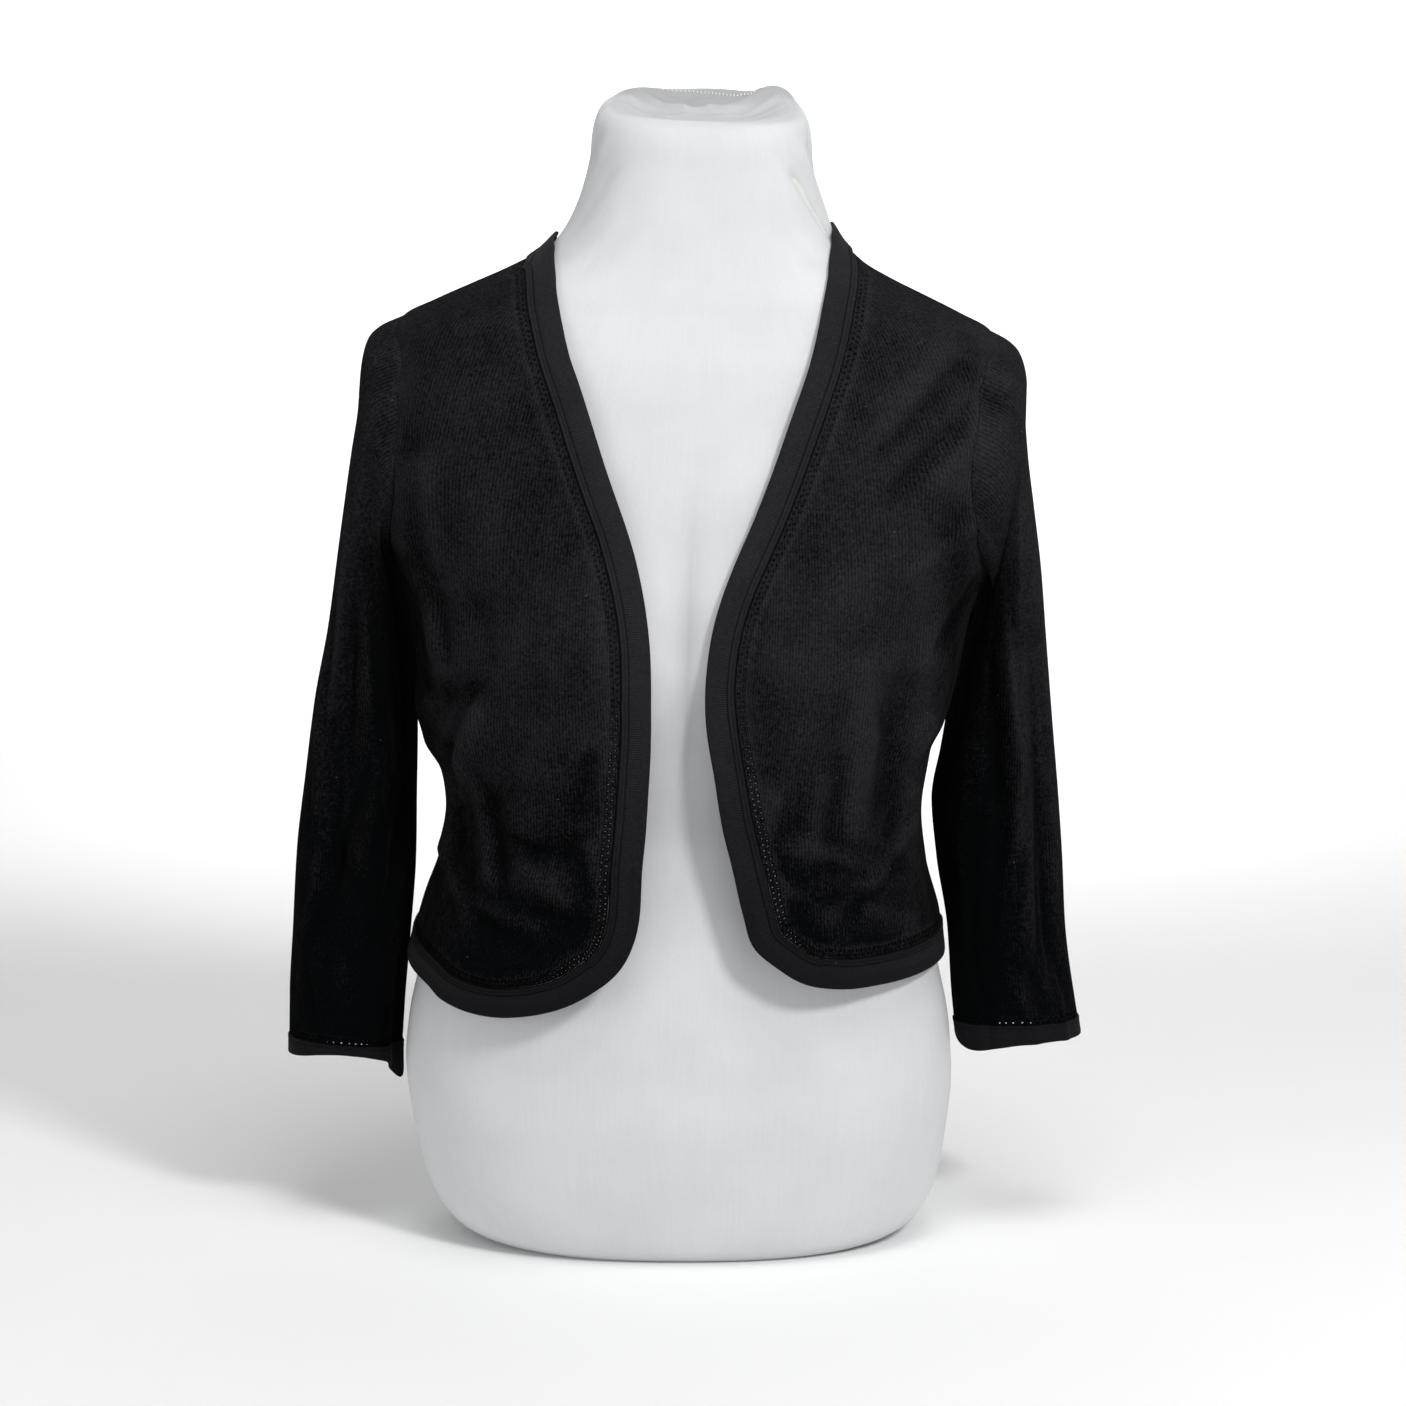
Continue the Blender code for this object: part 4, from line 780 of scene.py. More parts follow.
def panel_mesh(outline, spacing):
    """A cut panel: flat outline filled with triangles, as angles and heights, and the faces."""
    flat = flat_of(outline)
    low, high = flat.min(axis=0), flat.max(axis=0)
    rows = int((high[1] - low[1]) / (spacing * TRIANGLE_HEIGHT)) + 2
    columns = int((high[0] - low[0]) / spacing) + 2
    row, column = np.mgrid[0:rows, 0:columns]
    across, up = low[0] + (column + row % 2 / 2) * spacing, low[1] + row * spacing * TRIANGLE_HEIGHT
    grid = np.stack([across, up], -1).reshape(-1, 2)
    grid = grid[far_from(grid, flat) > spacing * RIM_CLEARANCE]
    coordinates = [Vector(point) for point in np.vstack([flat, grid])]
    made = delaunay_2d_cdt(coordinates, [], [list(range(len(flat)))], 1, 1e-7)
    return unflat(np.array([tuple(point) for point in made[0]])), list(made[2])


def rim_of(faces):
    """The open edges of a sheet, each in the direction of its face."""
    directed = {(a, b) for face in faces for a, b in zip(face, face[1:] + face[:1])}
    return [(a, b) for a, b in directed if (b, a) not in directed]


def wall(outer, inner, faces):
    """Points and faces of a closed wall between an outer sheet and its inner copy."""
    count = len(outer)
    inside = [[index + count for index in reversed(face)] for face in faces]
    rim = [[b, a, a + count, b + count] for a, b in sorted(rim_of(faces))]
    return np.vstack([outer, inner]), [list(face) for face in faces] + inside + rim


def off_seams(places):
    """Angles and heights of one panel, kept half a seam gap away from the side and shoulder seams."""
    angle, z = places.T
    middle = np.pi * (np.mean(angle) > np.pi / 2)
    room = np.pi / 2 - SEAM_GAP / 2 / smooth(FORM_RINGS, "side", z)
    return np.stack([np.clip(angle, middle - room, middle + room), z], -1)


def band_line(path, share, inward):
    """The line at a share of the width across the band that runs along an edge."""
    return off_seams(moved_across(evenly(path, BAND_SPACING), share * BAND_WIDTH, inward))


def armhole_ring(side):
    """Upright outer points of a sleeve's seam, one for each column of the sleeve, and normals."""
    places = np.vstack([armhole_seam(side, False)[:-1], armhole_seam(side, True)[:0:-1]])
    angle, z = places.T
    return cloth(angle, z), cloth_normals(angle, z)


def sleeve_ring(side, row_share):
    """Upright points of one ring; row_share is 0 at the table's first row and 1 at its last."""
    rows = SLEEVE_RINGS[side]
    numbered = [Numbered(i / (len(rows) - 1), *row) for i, row in enumerate(rows)]
    ring = SleeveRing(*(smooth(numbered, name, row_share, "share") for name in SleeveRing._fields))
    turn = np.arange(SLEEVE_COLUMN_COUNT) * 2 * np.pi / SLEEVE_COLUMN_COUNT
    cosine, sine = np.cos(turn), np.sin(turn)
    power = 2 / SLEEVE_SQUARENESS
    across = np.sign(cosine) * np.abs(cosine) ** power
    deep = np.sign(sine) * np.abs(sine) ** power
    x = (ring.outer_x + ring.inner_x) / 2 + (ring.outer_x - ring.inner_x) / 2 * across
    z = (ring.outer_z + ring.inner_z) / 2 + (ring.outer_z - ring.inner_z) / 2 * across
    y = ring.middle_y - ring.half_depth * deep + ring.skew * across
    points = np.stack([SIDES[side] * x, y, z], -1)
    outward = unit(points - points.mean(axis=0))
    rise = slanting_rise(SLEEVE_FOLDS[side], np.degrees(turn), z, SLEEVE_FADE)
    return points + outward * rise[:, None]


def sleeve_rings(side, shares):
    """Rings of points at the given shares of the sleeve, the first ones eased onto the armhole seam."""
    pull = armhole_ring(side)[0] - sleeve_ring(side, 0.0)
    eased = 1 - ramp(shares, 0, SEAM_BLEND)
    return np.array([sleeve_ring(side, share) + pull * part for share, part in zip(shares, eased)])


def ring_normals(rings, outward_sign):
    along = np.gradient(rings, axis=0)
    around = np.roll(rings, -1, 1) - np.roll(rings, 1, 1)
    return unit(np.cross(along, around)) * outward_sign


def into_armhole(seam, normals):
    """Directions along the cloth, square to the armhole seam and away from the panels."""
    along = np.roll(seam, -1, 0) - np.roll(seam, 1, 0)
    across = unit(np.cross(along, normals))
    inward = np.sum(across * (seam.mean(axis=0) - seam), axis=1, keepdims=True)
    return across * np.sign(inward)


def grid_faces(rows, columns):
    """Faces of an open grid of points, row by row."""
    corner = np.arange(rows * columns).reshape(rows, columns)
    faces = np.stack([corner[:-1, :-1], corner[:-1, 1:], corner[1:, 1:], corner[1:, :-1]], -1)
    return [list(map(int, face)) for face in faces.reshape(-1, 4)]


def tube_faces(rows, columns):
    """Faces of a grid of points, row by row, closed round its columns and at both ends."""
    faces = []
    for here in range(0, (rows - 1) * columns, columns):
        there = here + columns
        for c in range(columns):
            d = (c + 1) % columns
            faces.append([here + c, here + d, there + d, there + c])
    first = list(range(columns))
    return faces + [first[::-1], [(rows - 1) * columns + c for c in first]]


def places_in_cut(across, along):
    return np.stack(np.broadcast_arrays(across, along), -1).reshape(-1, 2)


def add_cloth(name, sheet, finish, stands_for):
    """A thin closed piece of cloth from a sheet."""
    points, faces = wall(sheet.outer, sheet.inner, sheet.faces)
    return add_mesh(name, points, faces, np.vstack([sheet.cut, sheet.cut]), finish, stands_for)


def softened(values, first, second):
    """Values of the points of a mesh, averaged with their neighbours' again and again."""
    count = len(values)
    beside = np.bincount(first, minlength=count) + np.bincount(second, minlength=count)
    for _ in range(CREASE_ROUNDS):
        columns = [
            np.bincount(first, column[second], count) + np.bincount(second, column[first], count)
            for column in values.T
        ]
        values = (values + np.stack(columns, -1)) / (beside + 1)[:, None]
    return values


def raised_points(points, faces, normals):
    """How far each point stands out of the cloth around it: -1 in a deep crease, 1 on a ridge."""
    edges = np.array([[face[i - 1], face[i]] for face in faces for i in range(len(face))])
    first, second = np.unique(np.sort(edges, axis=1), axis=0).T
    out = np.sum((points - softened(points, first, second)) * normals, axis=1, keepdims=True)
    out = out - softened(out, first, second)
    return np.clip(out[:, 0] / CREASE_DEEP, -1, 1)


def link(thing):
    """Puts an object in the scene and returns it."""
    bpy.context.scene.collection.objects.link(thing)
    return thing


def add_mesh(name, points, faces, cut, finish, stands_for):
    """An object from upright points, leaning with the form, with its place in the cut as a UV map."""
    mesh = bpy.data.meshes.new(name)
    mesh.from_pydata([tuple(point) for point in stand(points)], [], faces)
    mesh.update()
    layout = mesh.uv_layers.new(name="cut")
    corner_points = np.empty(len(mesh.loops), int)
    mesh.loops.foreach_get("vertex_index", corner_points)
    layout.data.foreach_set("uv", np.asarray(cut, float)[corner_points].ravel())
    normals = np.empty(len(points) * 3)
    mesh.vertices.foreach_get("normal", normals)
    # Per point: how far it stands out, which the finishes use to paint shade into creases and light onto
    # ridges
    raised = mesh.attributes.new("raised", "FLOAT", "POINT")
    raised.data.foreach_set("value", raised_points(stand(points), faces, normals.reshape(-1, 3)))
    mesh.materials.append(finish)
    mesh.shade_smooth()
    mesh.set_sharp_from_angle(angle=np.radians(SHARP_ANGLE))
    piece = link(bpy.data.objects.new(name, mesh))
    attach(piece, "root")
    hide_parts(stands_for)
    return piece


def joined(sheets):
    """Several sheets as one."""
    faces, offset = [], 0
    for sheet in sheets:
        faces += [[index + offset for index in face] for face in sheet.faces]
        offset += len(sheet.outer)
    stacked = {
        name: np.vstack([getattr(sheet, name) for sheet in sheets])
        for name in ("outer", "inner", "cut", "outward")
    }
    return Sheet(faces=faces, **stacked)


def sheet_from(outer, outward, faces, cut, thick=KNIT_WALL):
    """A sheet of cloth from its outer points, with its faces turned to look outward."""
    first = faces[0]
    looks = np.cross(outer[first[1]] - outer[first[0]], outer[first[2]] - outer[first[0]])
    if looks @ outward[first[0]] <= 0:
        faces = [face[::-1] for face in faces]
    return Sheet(outer, outer - thick * outward, faces, cut, outward)


def eyelet_strip(length, locate):
    """Two rows of eyelets in a strip of cloth of the given length.

    locate takes places along and across the strip and returns points, outward directions and
    places in the cut. Each eyelet is an eight-sided hole in a cell of its own. The row beside the
    band is half a cell on, and short cells without a hole fill its ends.
    """
    count = int(length / EYELET_PITCH)
    pitch = length / count
    turn = np.arange(EYELET_SIDES) * np.pi / 4
    ring = np.stack([np.cos(turn), np.sin(turn)], -1) * EYELET_RADIUS
    square = np.array([[1, 0], [1, 1], [0, 1], [-1, 1], [-1, 0], [-1, -1], [0, -1], [1, -1]], float)
    along, across, dips, faces = [], [], [], []
    for row, middle in enumerate(EYELET_ROWS):
        low, high = (EYELET_ROW_HEIGHT, EYELET_STRIP) if row else (0.0, EYELET_ROW_HEIGHT)
        shift = 0.0 if row else 0.5
        for cell in range(count if row else count - 1):
            centre = (cell + 0.5 + shift) * pitch
            start = len(along)
            along += list(centre + ring[:, 0]) + list(centre + square[:, 0] * pitch / 2)
            edge = np.where(square[:, 1] > 0, high, np.where(square[:, 1] < 0, low, middle))
            across += list(middle + ring[:, 1]) + list(edge)
            dips += [EYELET_DIP] * EYELET_SIDES + [0.0] * EYELET_SIDES
            for i in range(EYELET_SIDES):
                j = (i + 1) % EYELET_SIDES
                faces.append([start + i, start + EYELET_SIDES + i, start + EYELET_SIDES + j, start + j])
    for left, right in ((0.0, pitch / 2), (length - pitch / 2, length)):
        start = len(along)
        along += [left, right, right, left]
        across += [0.0, 0.0, EYELET_ROW_HEIGHT, EYELET_ROW_HEIGHT]
        dips += [0.0] * 4
        faces.append([start, start + 1, start + 2, start + 3])
    points, outward, cut = locate(np.clip(along, 0, length), np.array(across))
    return sheet_from(points - outward * np.array(dips)[:, None], outward, faces, cut)


def band_side_strip(path, inward):
    """The eyelets beside a band, on the panel that it edges."""
    base = evenly(path, BAND_SPACING)
    run = run_along(cloth(base[:, 0], base[:, 1]))
    lines = [
        off_seams(moved_across(base, BAND_WIDTH + SEAM_GAP + distance, inward))
        for distance in np.linspace(0, EYELET_STRIP, EYELET_LINES)
    ]

    def locate(along, across):
        place = np.clip(across / EYELET_STRIP * (EYELET_LINES - 1), 0, EYELET_LINES - 1)
        low = np.minimum(place.astype(int), EYELET_LINES - 2)
        share = place - low
        pick = np.arange(len(along))

        def read(column):
            grid = np.array([np.interp(along, run, line[:, column]) for line in lines])
            return grid[low, pick] * (1 - share) + grid[low + 1, pick] * share

        angle, z = read(0), read(1)
        return cloth(angle, z), cloth_normals(angle, z), flat_of(np.stack([angle, z], -1))

    return eyelet_strip(run[-1], locate)


def panel_part(outline, spacing):
    """The body of a cut panel as a sheet."""
    places, faces = panel_mesh(outline, spacing)
    angle, z = places.T
    return sheet_from(cloth(angle, z), cloth_normals(angle, z), faces, flat_of(places))


def inside_strip(path, inward):
    """Where the plain body of a panel meets the strip of eyelets along its band."""
    distance = BAND_WIDTH + SEAM_GAP + EYELET_STRIP
    return off_seams(moved_across(evenly(path, BAND_SPACING), distance, inward))


def add_front(side, finish):
    sign = SIDES[side]
    seam = inside_strip(opening_path(side), sign)
    armhole = evenly(armhole_path(side, False), PANEL_SPACING)
    shoulder = straight(seam[-1], armhole[0], PANEL_SPACING)
    side_seam = straight(armhole[-1], seam[0], PANEL_SPACING)
    outline = off_seams(np.vstack([seam, shoulder, armhole[1:], side_seam[:-1]]))
    body = panel_part(outline, PANEL_SPACING)
    strip = band_side_strip(opening_path(side), sign)
    return add_cloth("front_" + side + "_knit", joined([body, strip]), finish, "front_" + side)


def add_back(finish):
    hem = inside_strip(hem_back_path(), 1)
    neck = inside_strip(neck_back_path(), -1)
    right = evenly(armhole_path("right", True), BACK_SPACING)
    left = evenly(armhole_path("left", True), BACK_SPACING)
    edges = [
        hem,
        straight(hem[-1], right[-1], BACK_SPACING),
        right[::-1][1:],
        straight(right[0], neck[-1], BACK_SPACING),
        neck[::-1][1:],
        straight(neck[0], left[0], BACK_SPACING),
        left[1:],
        straight(left[-1], hem[0], BACK_SPACING)[:-1],
    ]
    body = panel_part(off_seams(np.vstack(edges)), BACK_SPACING)
    strips = [band_side_strip(hem_back_path(), 1), band_side_strip(neck_back_path(), -1)]
    return add_cloth("back_knit", joined([body, *strips]), finish, "back")


def add_strip(name, lanes, run, width, finish):
    """A closed folded strip from lanes of points, those of its outer side first."""
    points = np.stack(lanes, 1)
    rows, count = points.shape[:2]
    faces = tube_faces(rows, count)
    middle = len(BAND_PROFILE) // 2
    corner = points[0, middle]
    looks = np.cross(points[0, middle + 1] - corner, points[1, middle + 1] - corner)
    if looks @ (corner - points[0, len(BAND_PROFILE) + 1]) < 0:
        faces = [face[::-1] for face in faces]
    cut = places_in_cut(run[:, None], width[None, :])
    return add_mesh(name + "_strip", points.reshape(-1, 3), faces, cut, finish, name)


def add_band(name, path, inward, finish):
    """The folded strip along an edge, with its ridge beside the seam."""
    shares = [lane.share for lane in BAND_PROFILE] + list(BAND_INNER_SHARES)
    lifts = [lane.lift for lane in BAND_PROFILE] + [-KNIT_WALL] * len(BAND_INNER_SHARES)
    lanes = []
    for share, lift in zip(shares, lifts):
        angle, z = band_line(path, share, inward).T
        lanes.append(cloth(angle, z) + lift * cloth_normals(angle, z))
    run = run_along(lanes[len(BAND_PROFILE) // 2])
    return add_strip(name, lanes, run, BAND_WIDTH * np.array(shares), finish)


def sleeve_surface(side):
    """Rings of outer points of a sleeve and their outward directions, from the armhole to the cuff."""
    sign = SIDES[side]
    shares = np.linspace(0, 1, SLEEVE_RING_COUNT)
    rings = sleeve_rings(side, shares)
    _, seam_normals = armhole_ring(side)
    normals = ring_normals(rings, -sign)
    agree = np.sum(normals[0] * seam_normals, axis=1, keepdims=True)
    flush = ramp(agree, *FLUSH_SEAM)
    start_normals = unit(seam_normals * flush + normals[0] * (1 - flush))
    blend = ramp(shares, 0, SEAM_EASE)[:, None, None]
    normals = unit(normals * blend + start_normals * (1 - blend))
    rings = rings.copy()
    rings[0] += SLEEVE_SEAM_GAP * (into_armhole(rings[0], seam_normals) + seam_normals * (1 - flush))
    return rings, normals


def opened(rings):
    """Closed rings as an open grid that starts and ends at the underarm seam."""
    turned = np.roll(rings, rings.shape[1] // 2, axis=1)
    return np.concatenate([turned, turned[:, :1]], axis=1)


def add_sleeve(side, finish, cuff_finish):
    """A sleeve with its eyelets, and its cuff."""
    rings, normals = sleeve_surface(side)
    steps = np.linalg.norm(np.diff(rings, axis=0), axis=2).mean(axis=1)
    from_end = np.concatenate([np.cumsum(steps[::-1])[::-1], [0]])
    last = int(np.searchsorted(-from_end, -EYELET_STRIP))
    share = (EYELET_STRIP - from_end[last]) / (from_end[last - 1] - from_end[last])
    seam_ring = rings[last] * (1 - share) + rings[last - 1] * share
    seam_normals = unit(normals[last] * (1 - share) + normals[last - 1] * share)
    body = opened(np.concatenate([rings[:last], seam_ring[None]]))
    outward = opened(np.concatenate([normals[:last], seam_normals[None]]))
    rows, columns = body.shape[:2]
    girth = run_along(rings[len(rings) // 2])[-1]
    down = np.concatenate([[0], np.cumsum(steps)])
    cut = places_in_cut(np.linspace(0, girth, columns)[None, :], -down[:rows, None])
    main = sheet_from(body.reshape(-1, 3), outward.reshape(-1, 3), grid_faces(rows, columns), cut)

    end, end_normals = opened(rings), opened(normals)
    end_girth = run_along(end[-1])[-1]

    def locate(along, height):
        place = along / end_girth * (columns - 1)
        left = np.minimum(place.astype(int), columns - 2)
        part = (place - left)[:, None]
        row = np.interp(height, from_end[::-1], np.arange(len(from_end))[::-1])
        low = np.minimum(row.astype(int), len(end) - 2)
        rise = (row - low)[:, None]

        def read(grid):
            upper = grid[low, left] * (1 - part) + grid[low, left + 1] * part
            lower = grid[low + 1, left] * (1 - part) + grid[low + 1, left + 1] * part
            return upper * (1 - rise) + lower * rise

        place_in_cut = np.stack([along * girth / end_girth, height - down[rows - 1]], -1)
        return read(end), unit(read(end_normals)), place_in_cut

    strip = eyelet_strip(end_girth, locate)
    sleeve = add_cloth("sleeve_" + side + "_knit", joined([main, strip]), finish, "sleeve_" + side)
    return sleeve, add_cuff(side, end, end_normals, cuff_finish)


def add_cuff(side, rings, normals, finish):
    """The folded strip at the sleeve's end, with its ridge beside the seam."""
    end, end_normals = rings[-1], normals[-1]
    down = unit((end - rings[-CUFF_HANGS_BY])[:-1].mean(axis=0))
    columns = rings.shape[1]
    turn = 180 + np.arange(columns) * 360 / (columns - 1)
    dip = sum(row.drop * hump(turned_from(turn, row.turn), row.spread) for row in CUFF_DIPS[side])
    profile = BAND_PROFILE[::-1]
    shares = [lane.share for lane in profile] + list(BAND_INNER_SHARES[::-1])
    lifts = [CUFF_LIFT_SHARE * lane.lift for lane in profile] + [-KNIT_WALL] * len(BAND_INNER_SHARES)
    lanes = []
    for share, lift in zip(shares, lifts):
        fall = SEAM_GAP + (1 - share) * (CUFF_WIDTH + dip)
        lanes.append(end + down * fall[:, None] + lift * end_normals)
    run = np.linspace(0, 1, columns) * run_along(end)[-1]
    return add_strip("cuff_" + side, lanes, run, CUFF_WIDTH * np.array(shares), finish)


def cover_rise(angle, z):
    """How far the jersey cover stands off the smooth form: pulls beside the neck, lumps on its rim."""
    degrees = turned_from(np.degrees(angle), 0)
    total = slanting_rise(NECK_PULLS, degrees, z, COVER_FADE)
    for lump in RIM_LUMPS:
        away = turned_from(degrees, lump.turn)
        total += lump.rise * np.exp(-((away / lump.spread) ** 2) - ((z - lump.z) / lump.tall) ** 2)
    return total


def lumps_up(angle, z):
    """How far the lumps lift the rim itself."""
    degrees = turned_from(np.degrees(angle), 0)
    total = sum(lump.up * hump(turned_from(degrees, lump.turn), lump.spread) for lump in RIM_LUMPS)
    return total * ramp(z, FORM_RINGS[-3].z, TOP_Z)


def cover_points(turn, z):
    """Upright points of the jersey cover's outside, and the outward directions of the form there."""
    normals = normals_of(form, turn, np.clip(z, END_CLEAR, TOP_Z - END_CLEAR))
    points = form(turn, z) + normals * cover_rise(turn, z)[..., None]
    points[..., 2] += lumps_up(turn, z)
    return points, normals


def on_cap(rim, share):
    """Points on the cap of the neck, the given share of the way from its rim to its middle."""
    middle = np.array([0.0, CAP_MIDDLE_Y, TOP_Z - CAP_MIDDLE_DROP])
    ring = rim + (middle - rim) * np.reshape(share, (-1, 1))
    sag = -CAP_SAG * np.sin(np.pi * np.minimum(share * CAP_SAG_SHARE, 1)) ** 2
    rise = fold_rise(CAP_FOLDS, ring[:, 0], ring[:, 1]) * ramp(share, 0.0, CAP_FOLD_FROM)
    return ring + UP * np.reshape(sag + rise, (-1, 1))


def form_heights(count):
    """Heights of rings, closer together where the form's table has more rows."""
    table_z = [ring.z for ring in FORM_RINGS]
    return np.interp(np.linspace(0, 1, count), np.linspace(0, 1, len(table_z)), table_z)


def add_cover(finish):
    """The stretched jersey cover, from under the base to the puckered middle of the neck's top."""
    angle = np.linspace(-np.pi, np.pi, FORM_COLUMN_COUNT + 1)
    body, normals = cover_points(*np.meshgrid(angle, form_heights(FORM_RING_COUNT)))
    shares = np.linspace(0, 1, CAP_RING_COUNT + 1)[1:]
    cap = np.array([on_cap(body[-1], share) for share in shares])
    points = np.concatenate([body, cap])
    rows, columns = points.shape[:2]
    outward = np.concatenate([normals, np.broadcast_to(UP, cap.shape)]).reshape(-1, 3)
    run = run_along(points[:, columns // 2])
    run -= run[FORM_RING_COUNT - 1]
    cut = places_in_cut(angle[None, :] * FLAT_RADIUS, run[:, None])
    cover = sheet_from(points.reshape(-1, 3), outward, grid_faces(rows, columns), cut, COVER_WALL)
    return add_cloth("jersey_cover", cover, finish, "dress_form")


def add_core(finish):
    """The padded form under its cover, with the flat base that it stands on."""
    angle = np.arange(CORE_COLUMN_COUNT) * 2 * np.pi / CORE_COLUMN_COUNT
    body = form(*np.meshgrid(angle, form_heights(CORE_RING_COUNT)))
    centre = body.mean(axis=1, keepdims=True)
    points = centre + (body - centre) * CORE_SHARE
    points[-2:, :, 2] -= CORE_TOP_DROP
    rows, columns = points.shape[:2]
    points = points.reshape(-1, 3)
    cut = np.stack([np.tile(angle * FLAT_RADIUS, rows), points[:, 2]], -1)
    return add_mesh("form_core", points, tube_faces(rows, columns), cut, finish, "dress_form")


def rim_at(turn):
    """Points of the row of stitches, a little inside the rim of the cover at the top of the neck."""
    rim, _ = cover_points(turn, np.full_like(turn, TOP_Z - END_CLEAR))
    inset = np.interp(turn, np.radians(STITCHED_TURNS), STITCH_INSETS[::-1])
    return on_cap(rim, inset / np.hypot(rim[:, 0], rim[:, 1]))


def add_rim_stitches(finish):
    """The row of stitches along the back of the neck's rim, where the cover is closed."""
    points, faces = [], []
    for turn in np.radians(np.linspace(*STITCHED_TURNS, STITCH_COUNT)):
        start, end = rim_at(np.array([turn - STITCH_HALF_TURN, turn + STITCH_HALF_TURN]))
        side = np.cross(unit(end - start), UP)
        for face in tube_faces(STITCH_RINGS, STITCH_SIDES):
            faces.append([index + len(points) for index in face])
        for share in np.linspace(0, 1, STITCH_RINGS):
            swell = STITCH_END_SHARE + (1 - STITCH_END_SHARE) * np.sin(np.pi * share)
            middle = start + (end - start) * share + UP * STITCH_LIFT
            for corner in np.arange(STITCH_SIDES) * TAU / STITCH_SIDES:
                out = UP * np.cos(corner) + side * np.sin(corner)
                points.append(middle + out * (STITCH_RADIUS * swell))
    points = np.array(points)
    return add_mesh("rim_stitches", points, faces, points[:, :2], finish, "dress_form")


class Value:
    """A socket that takes part in sums and products; each one adds a Math node."""

    def __init__(self, finish, socket):
        self.finish = finish
        self.socket = socket

    def math(self, operation, *others):
        inputs = dict(enumerate((self, *others)))
        return self.finish.node("ShaderNodeMath", {"operation": operation}, inputs)

    def __add__(self, other):
        return self.math("ADD", other)

    def __sub__(self, other):
        return self.math("SUBTRACT", other)

    def __rsub__(self, other):
        return self.finish.node("ShaderNodeMath", {"operation": "SUBTRACT"}, {0: other, 1: self})

    def __mul__(self, other):
        return self.math("MULTIPLY", other)

    def __truediv__(self, other):
        return self.math("DIVIDE", other)

    __radd__ = __add__
    __rmul__ = __mul__

    def sine(self):
        return self.math("SINE")

    def part(self):
        """What is left above the whole number."""
        return self.math("FRACT")

    def size(self):
        return self.math("ABSOLUTE")

    def step(self, low, high):
        """0 below low, 1 above high, soft between."""
        settings = {"interpolation_type": "SMOOTHSTEP"}
        inputs = {"Value": self, "From Min": low, "From Max": high}
        return self.finish.node("ShaderNodeMapRange", settings, inputs)


class Finish:
    """One material, built from nodes on its Principled shader."""

    def __init__(self, name, slot):
        self.material = bpy.data.materials.new(name)
        self.material.use_nodes = True
        self.material["slot"] = slot
        self.tree = self.material.node_tree
        self.shader = self.tree.nodes["Principled BSDF"]

    def node(self, kind, settings, inputs, output=0):
        """A node of a kind, with its settings made first and then its sockets' values or links."""
        made = self.tree.nodes.new(kind)
        for setting, value in settings.items():
            setattr(made, setting, value)
        for key, value in inputs.items():
            self.feed(made.inputs[key], value)
        return Value(self, made.outputs[output])

    def feed(self, socket, value):
        if isinstance(value, Value):
            self.tree.links.new(value.socket, socket)
        else:
            socket.default_value = value

    def surface(self, **values):
        """Sets the Principled shader's sockets; an underscore in a name stands for a space."""
        for name, value in values.items():
            self.feed(self.shader.inputs[name.replace("_", " ")], value)
        return self.material

    def cut_place(self):
        """Metres across and along the cut."""
        place = self.node("ShaderNodeUVMap", {"uv_map": "cut"}, {})
        across = self.node("ShaderNodeSeparateXYZ", {}, {0: place}, "X")
        along = self.node("ShaderNodeSeparateXYZ", {}, {0: place}, "Y")
        return across, along

    def noise(self, scale, detail=2.0, roughness=0.5):
        spot = self.node("ShaderNodeTexCoord", {}, {}, "Object")
        inputs = {"Vector": spot, "Scale": scale, "Detail": detail, "Roughness": roughness}
        return self.node("ShaderNodeTexNoise", {}, inputs, "Fac")

    def blend(self, share, low, high):
        """A colour between two colours."""
        settings = {"data_type": "RGBA"}
        return self.node("ShaderNodeMix", settings, {0: share, 6: low, 7: high}, 2)

    def place(self, axis):
        """Metres along an axis of the part: Z from the floor, X to the right of its middle."""
        spot = self.node("ShaderNodeTexCoord", {}, {}, "Object")
        return self.node("ShaderNodeSeparateXYZ", {}, {0: spot}, axis)

    def raised(self):
        """1 on a ridge of the cloth, -1 in a hollow, 0 where it lies smooth: it paints shade into
        creases and light onto ridges.
        """
        return self.node("ShaderNodeAttribute", {"attribute_name": "raised"}, {}, "Fac")

    def bump(self, height, distance, strength, under=None):
        inputs = {"Height": height, "Distance": distance, "Strength": strength}
        if under is not None:
            inputs["Normal"] = under
        return self.node("ShaderNodeBump", {}, inputs, "Normal")

    def lint(self):
        """Sparse pale specks of lint: 1 on a speck."""
        spot = self.node("ShaderNodeTexCoord", {}, {}, "Object")
        cells = {"Vector": spot, "Scale": LINT_SCALE}
        near = self.node("ShaderNodeTexVoronoi", {}, cells, "Distance")
        shade = self.node("ShaderNodeTexVoronoi", {}, cells, "Color")
        chance = self.node("ShaderNodeSeparateColor", {}, {0: shade}, "Red")
        return (1 - near.step(*LINT_SPECK)) * chance.step(*LINT_CHANCE)


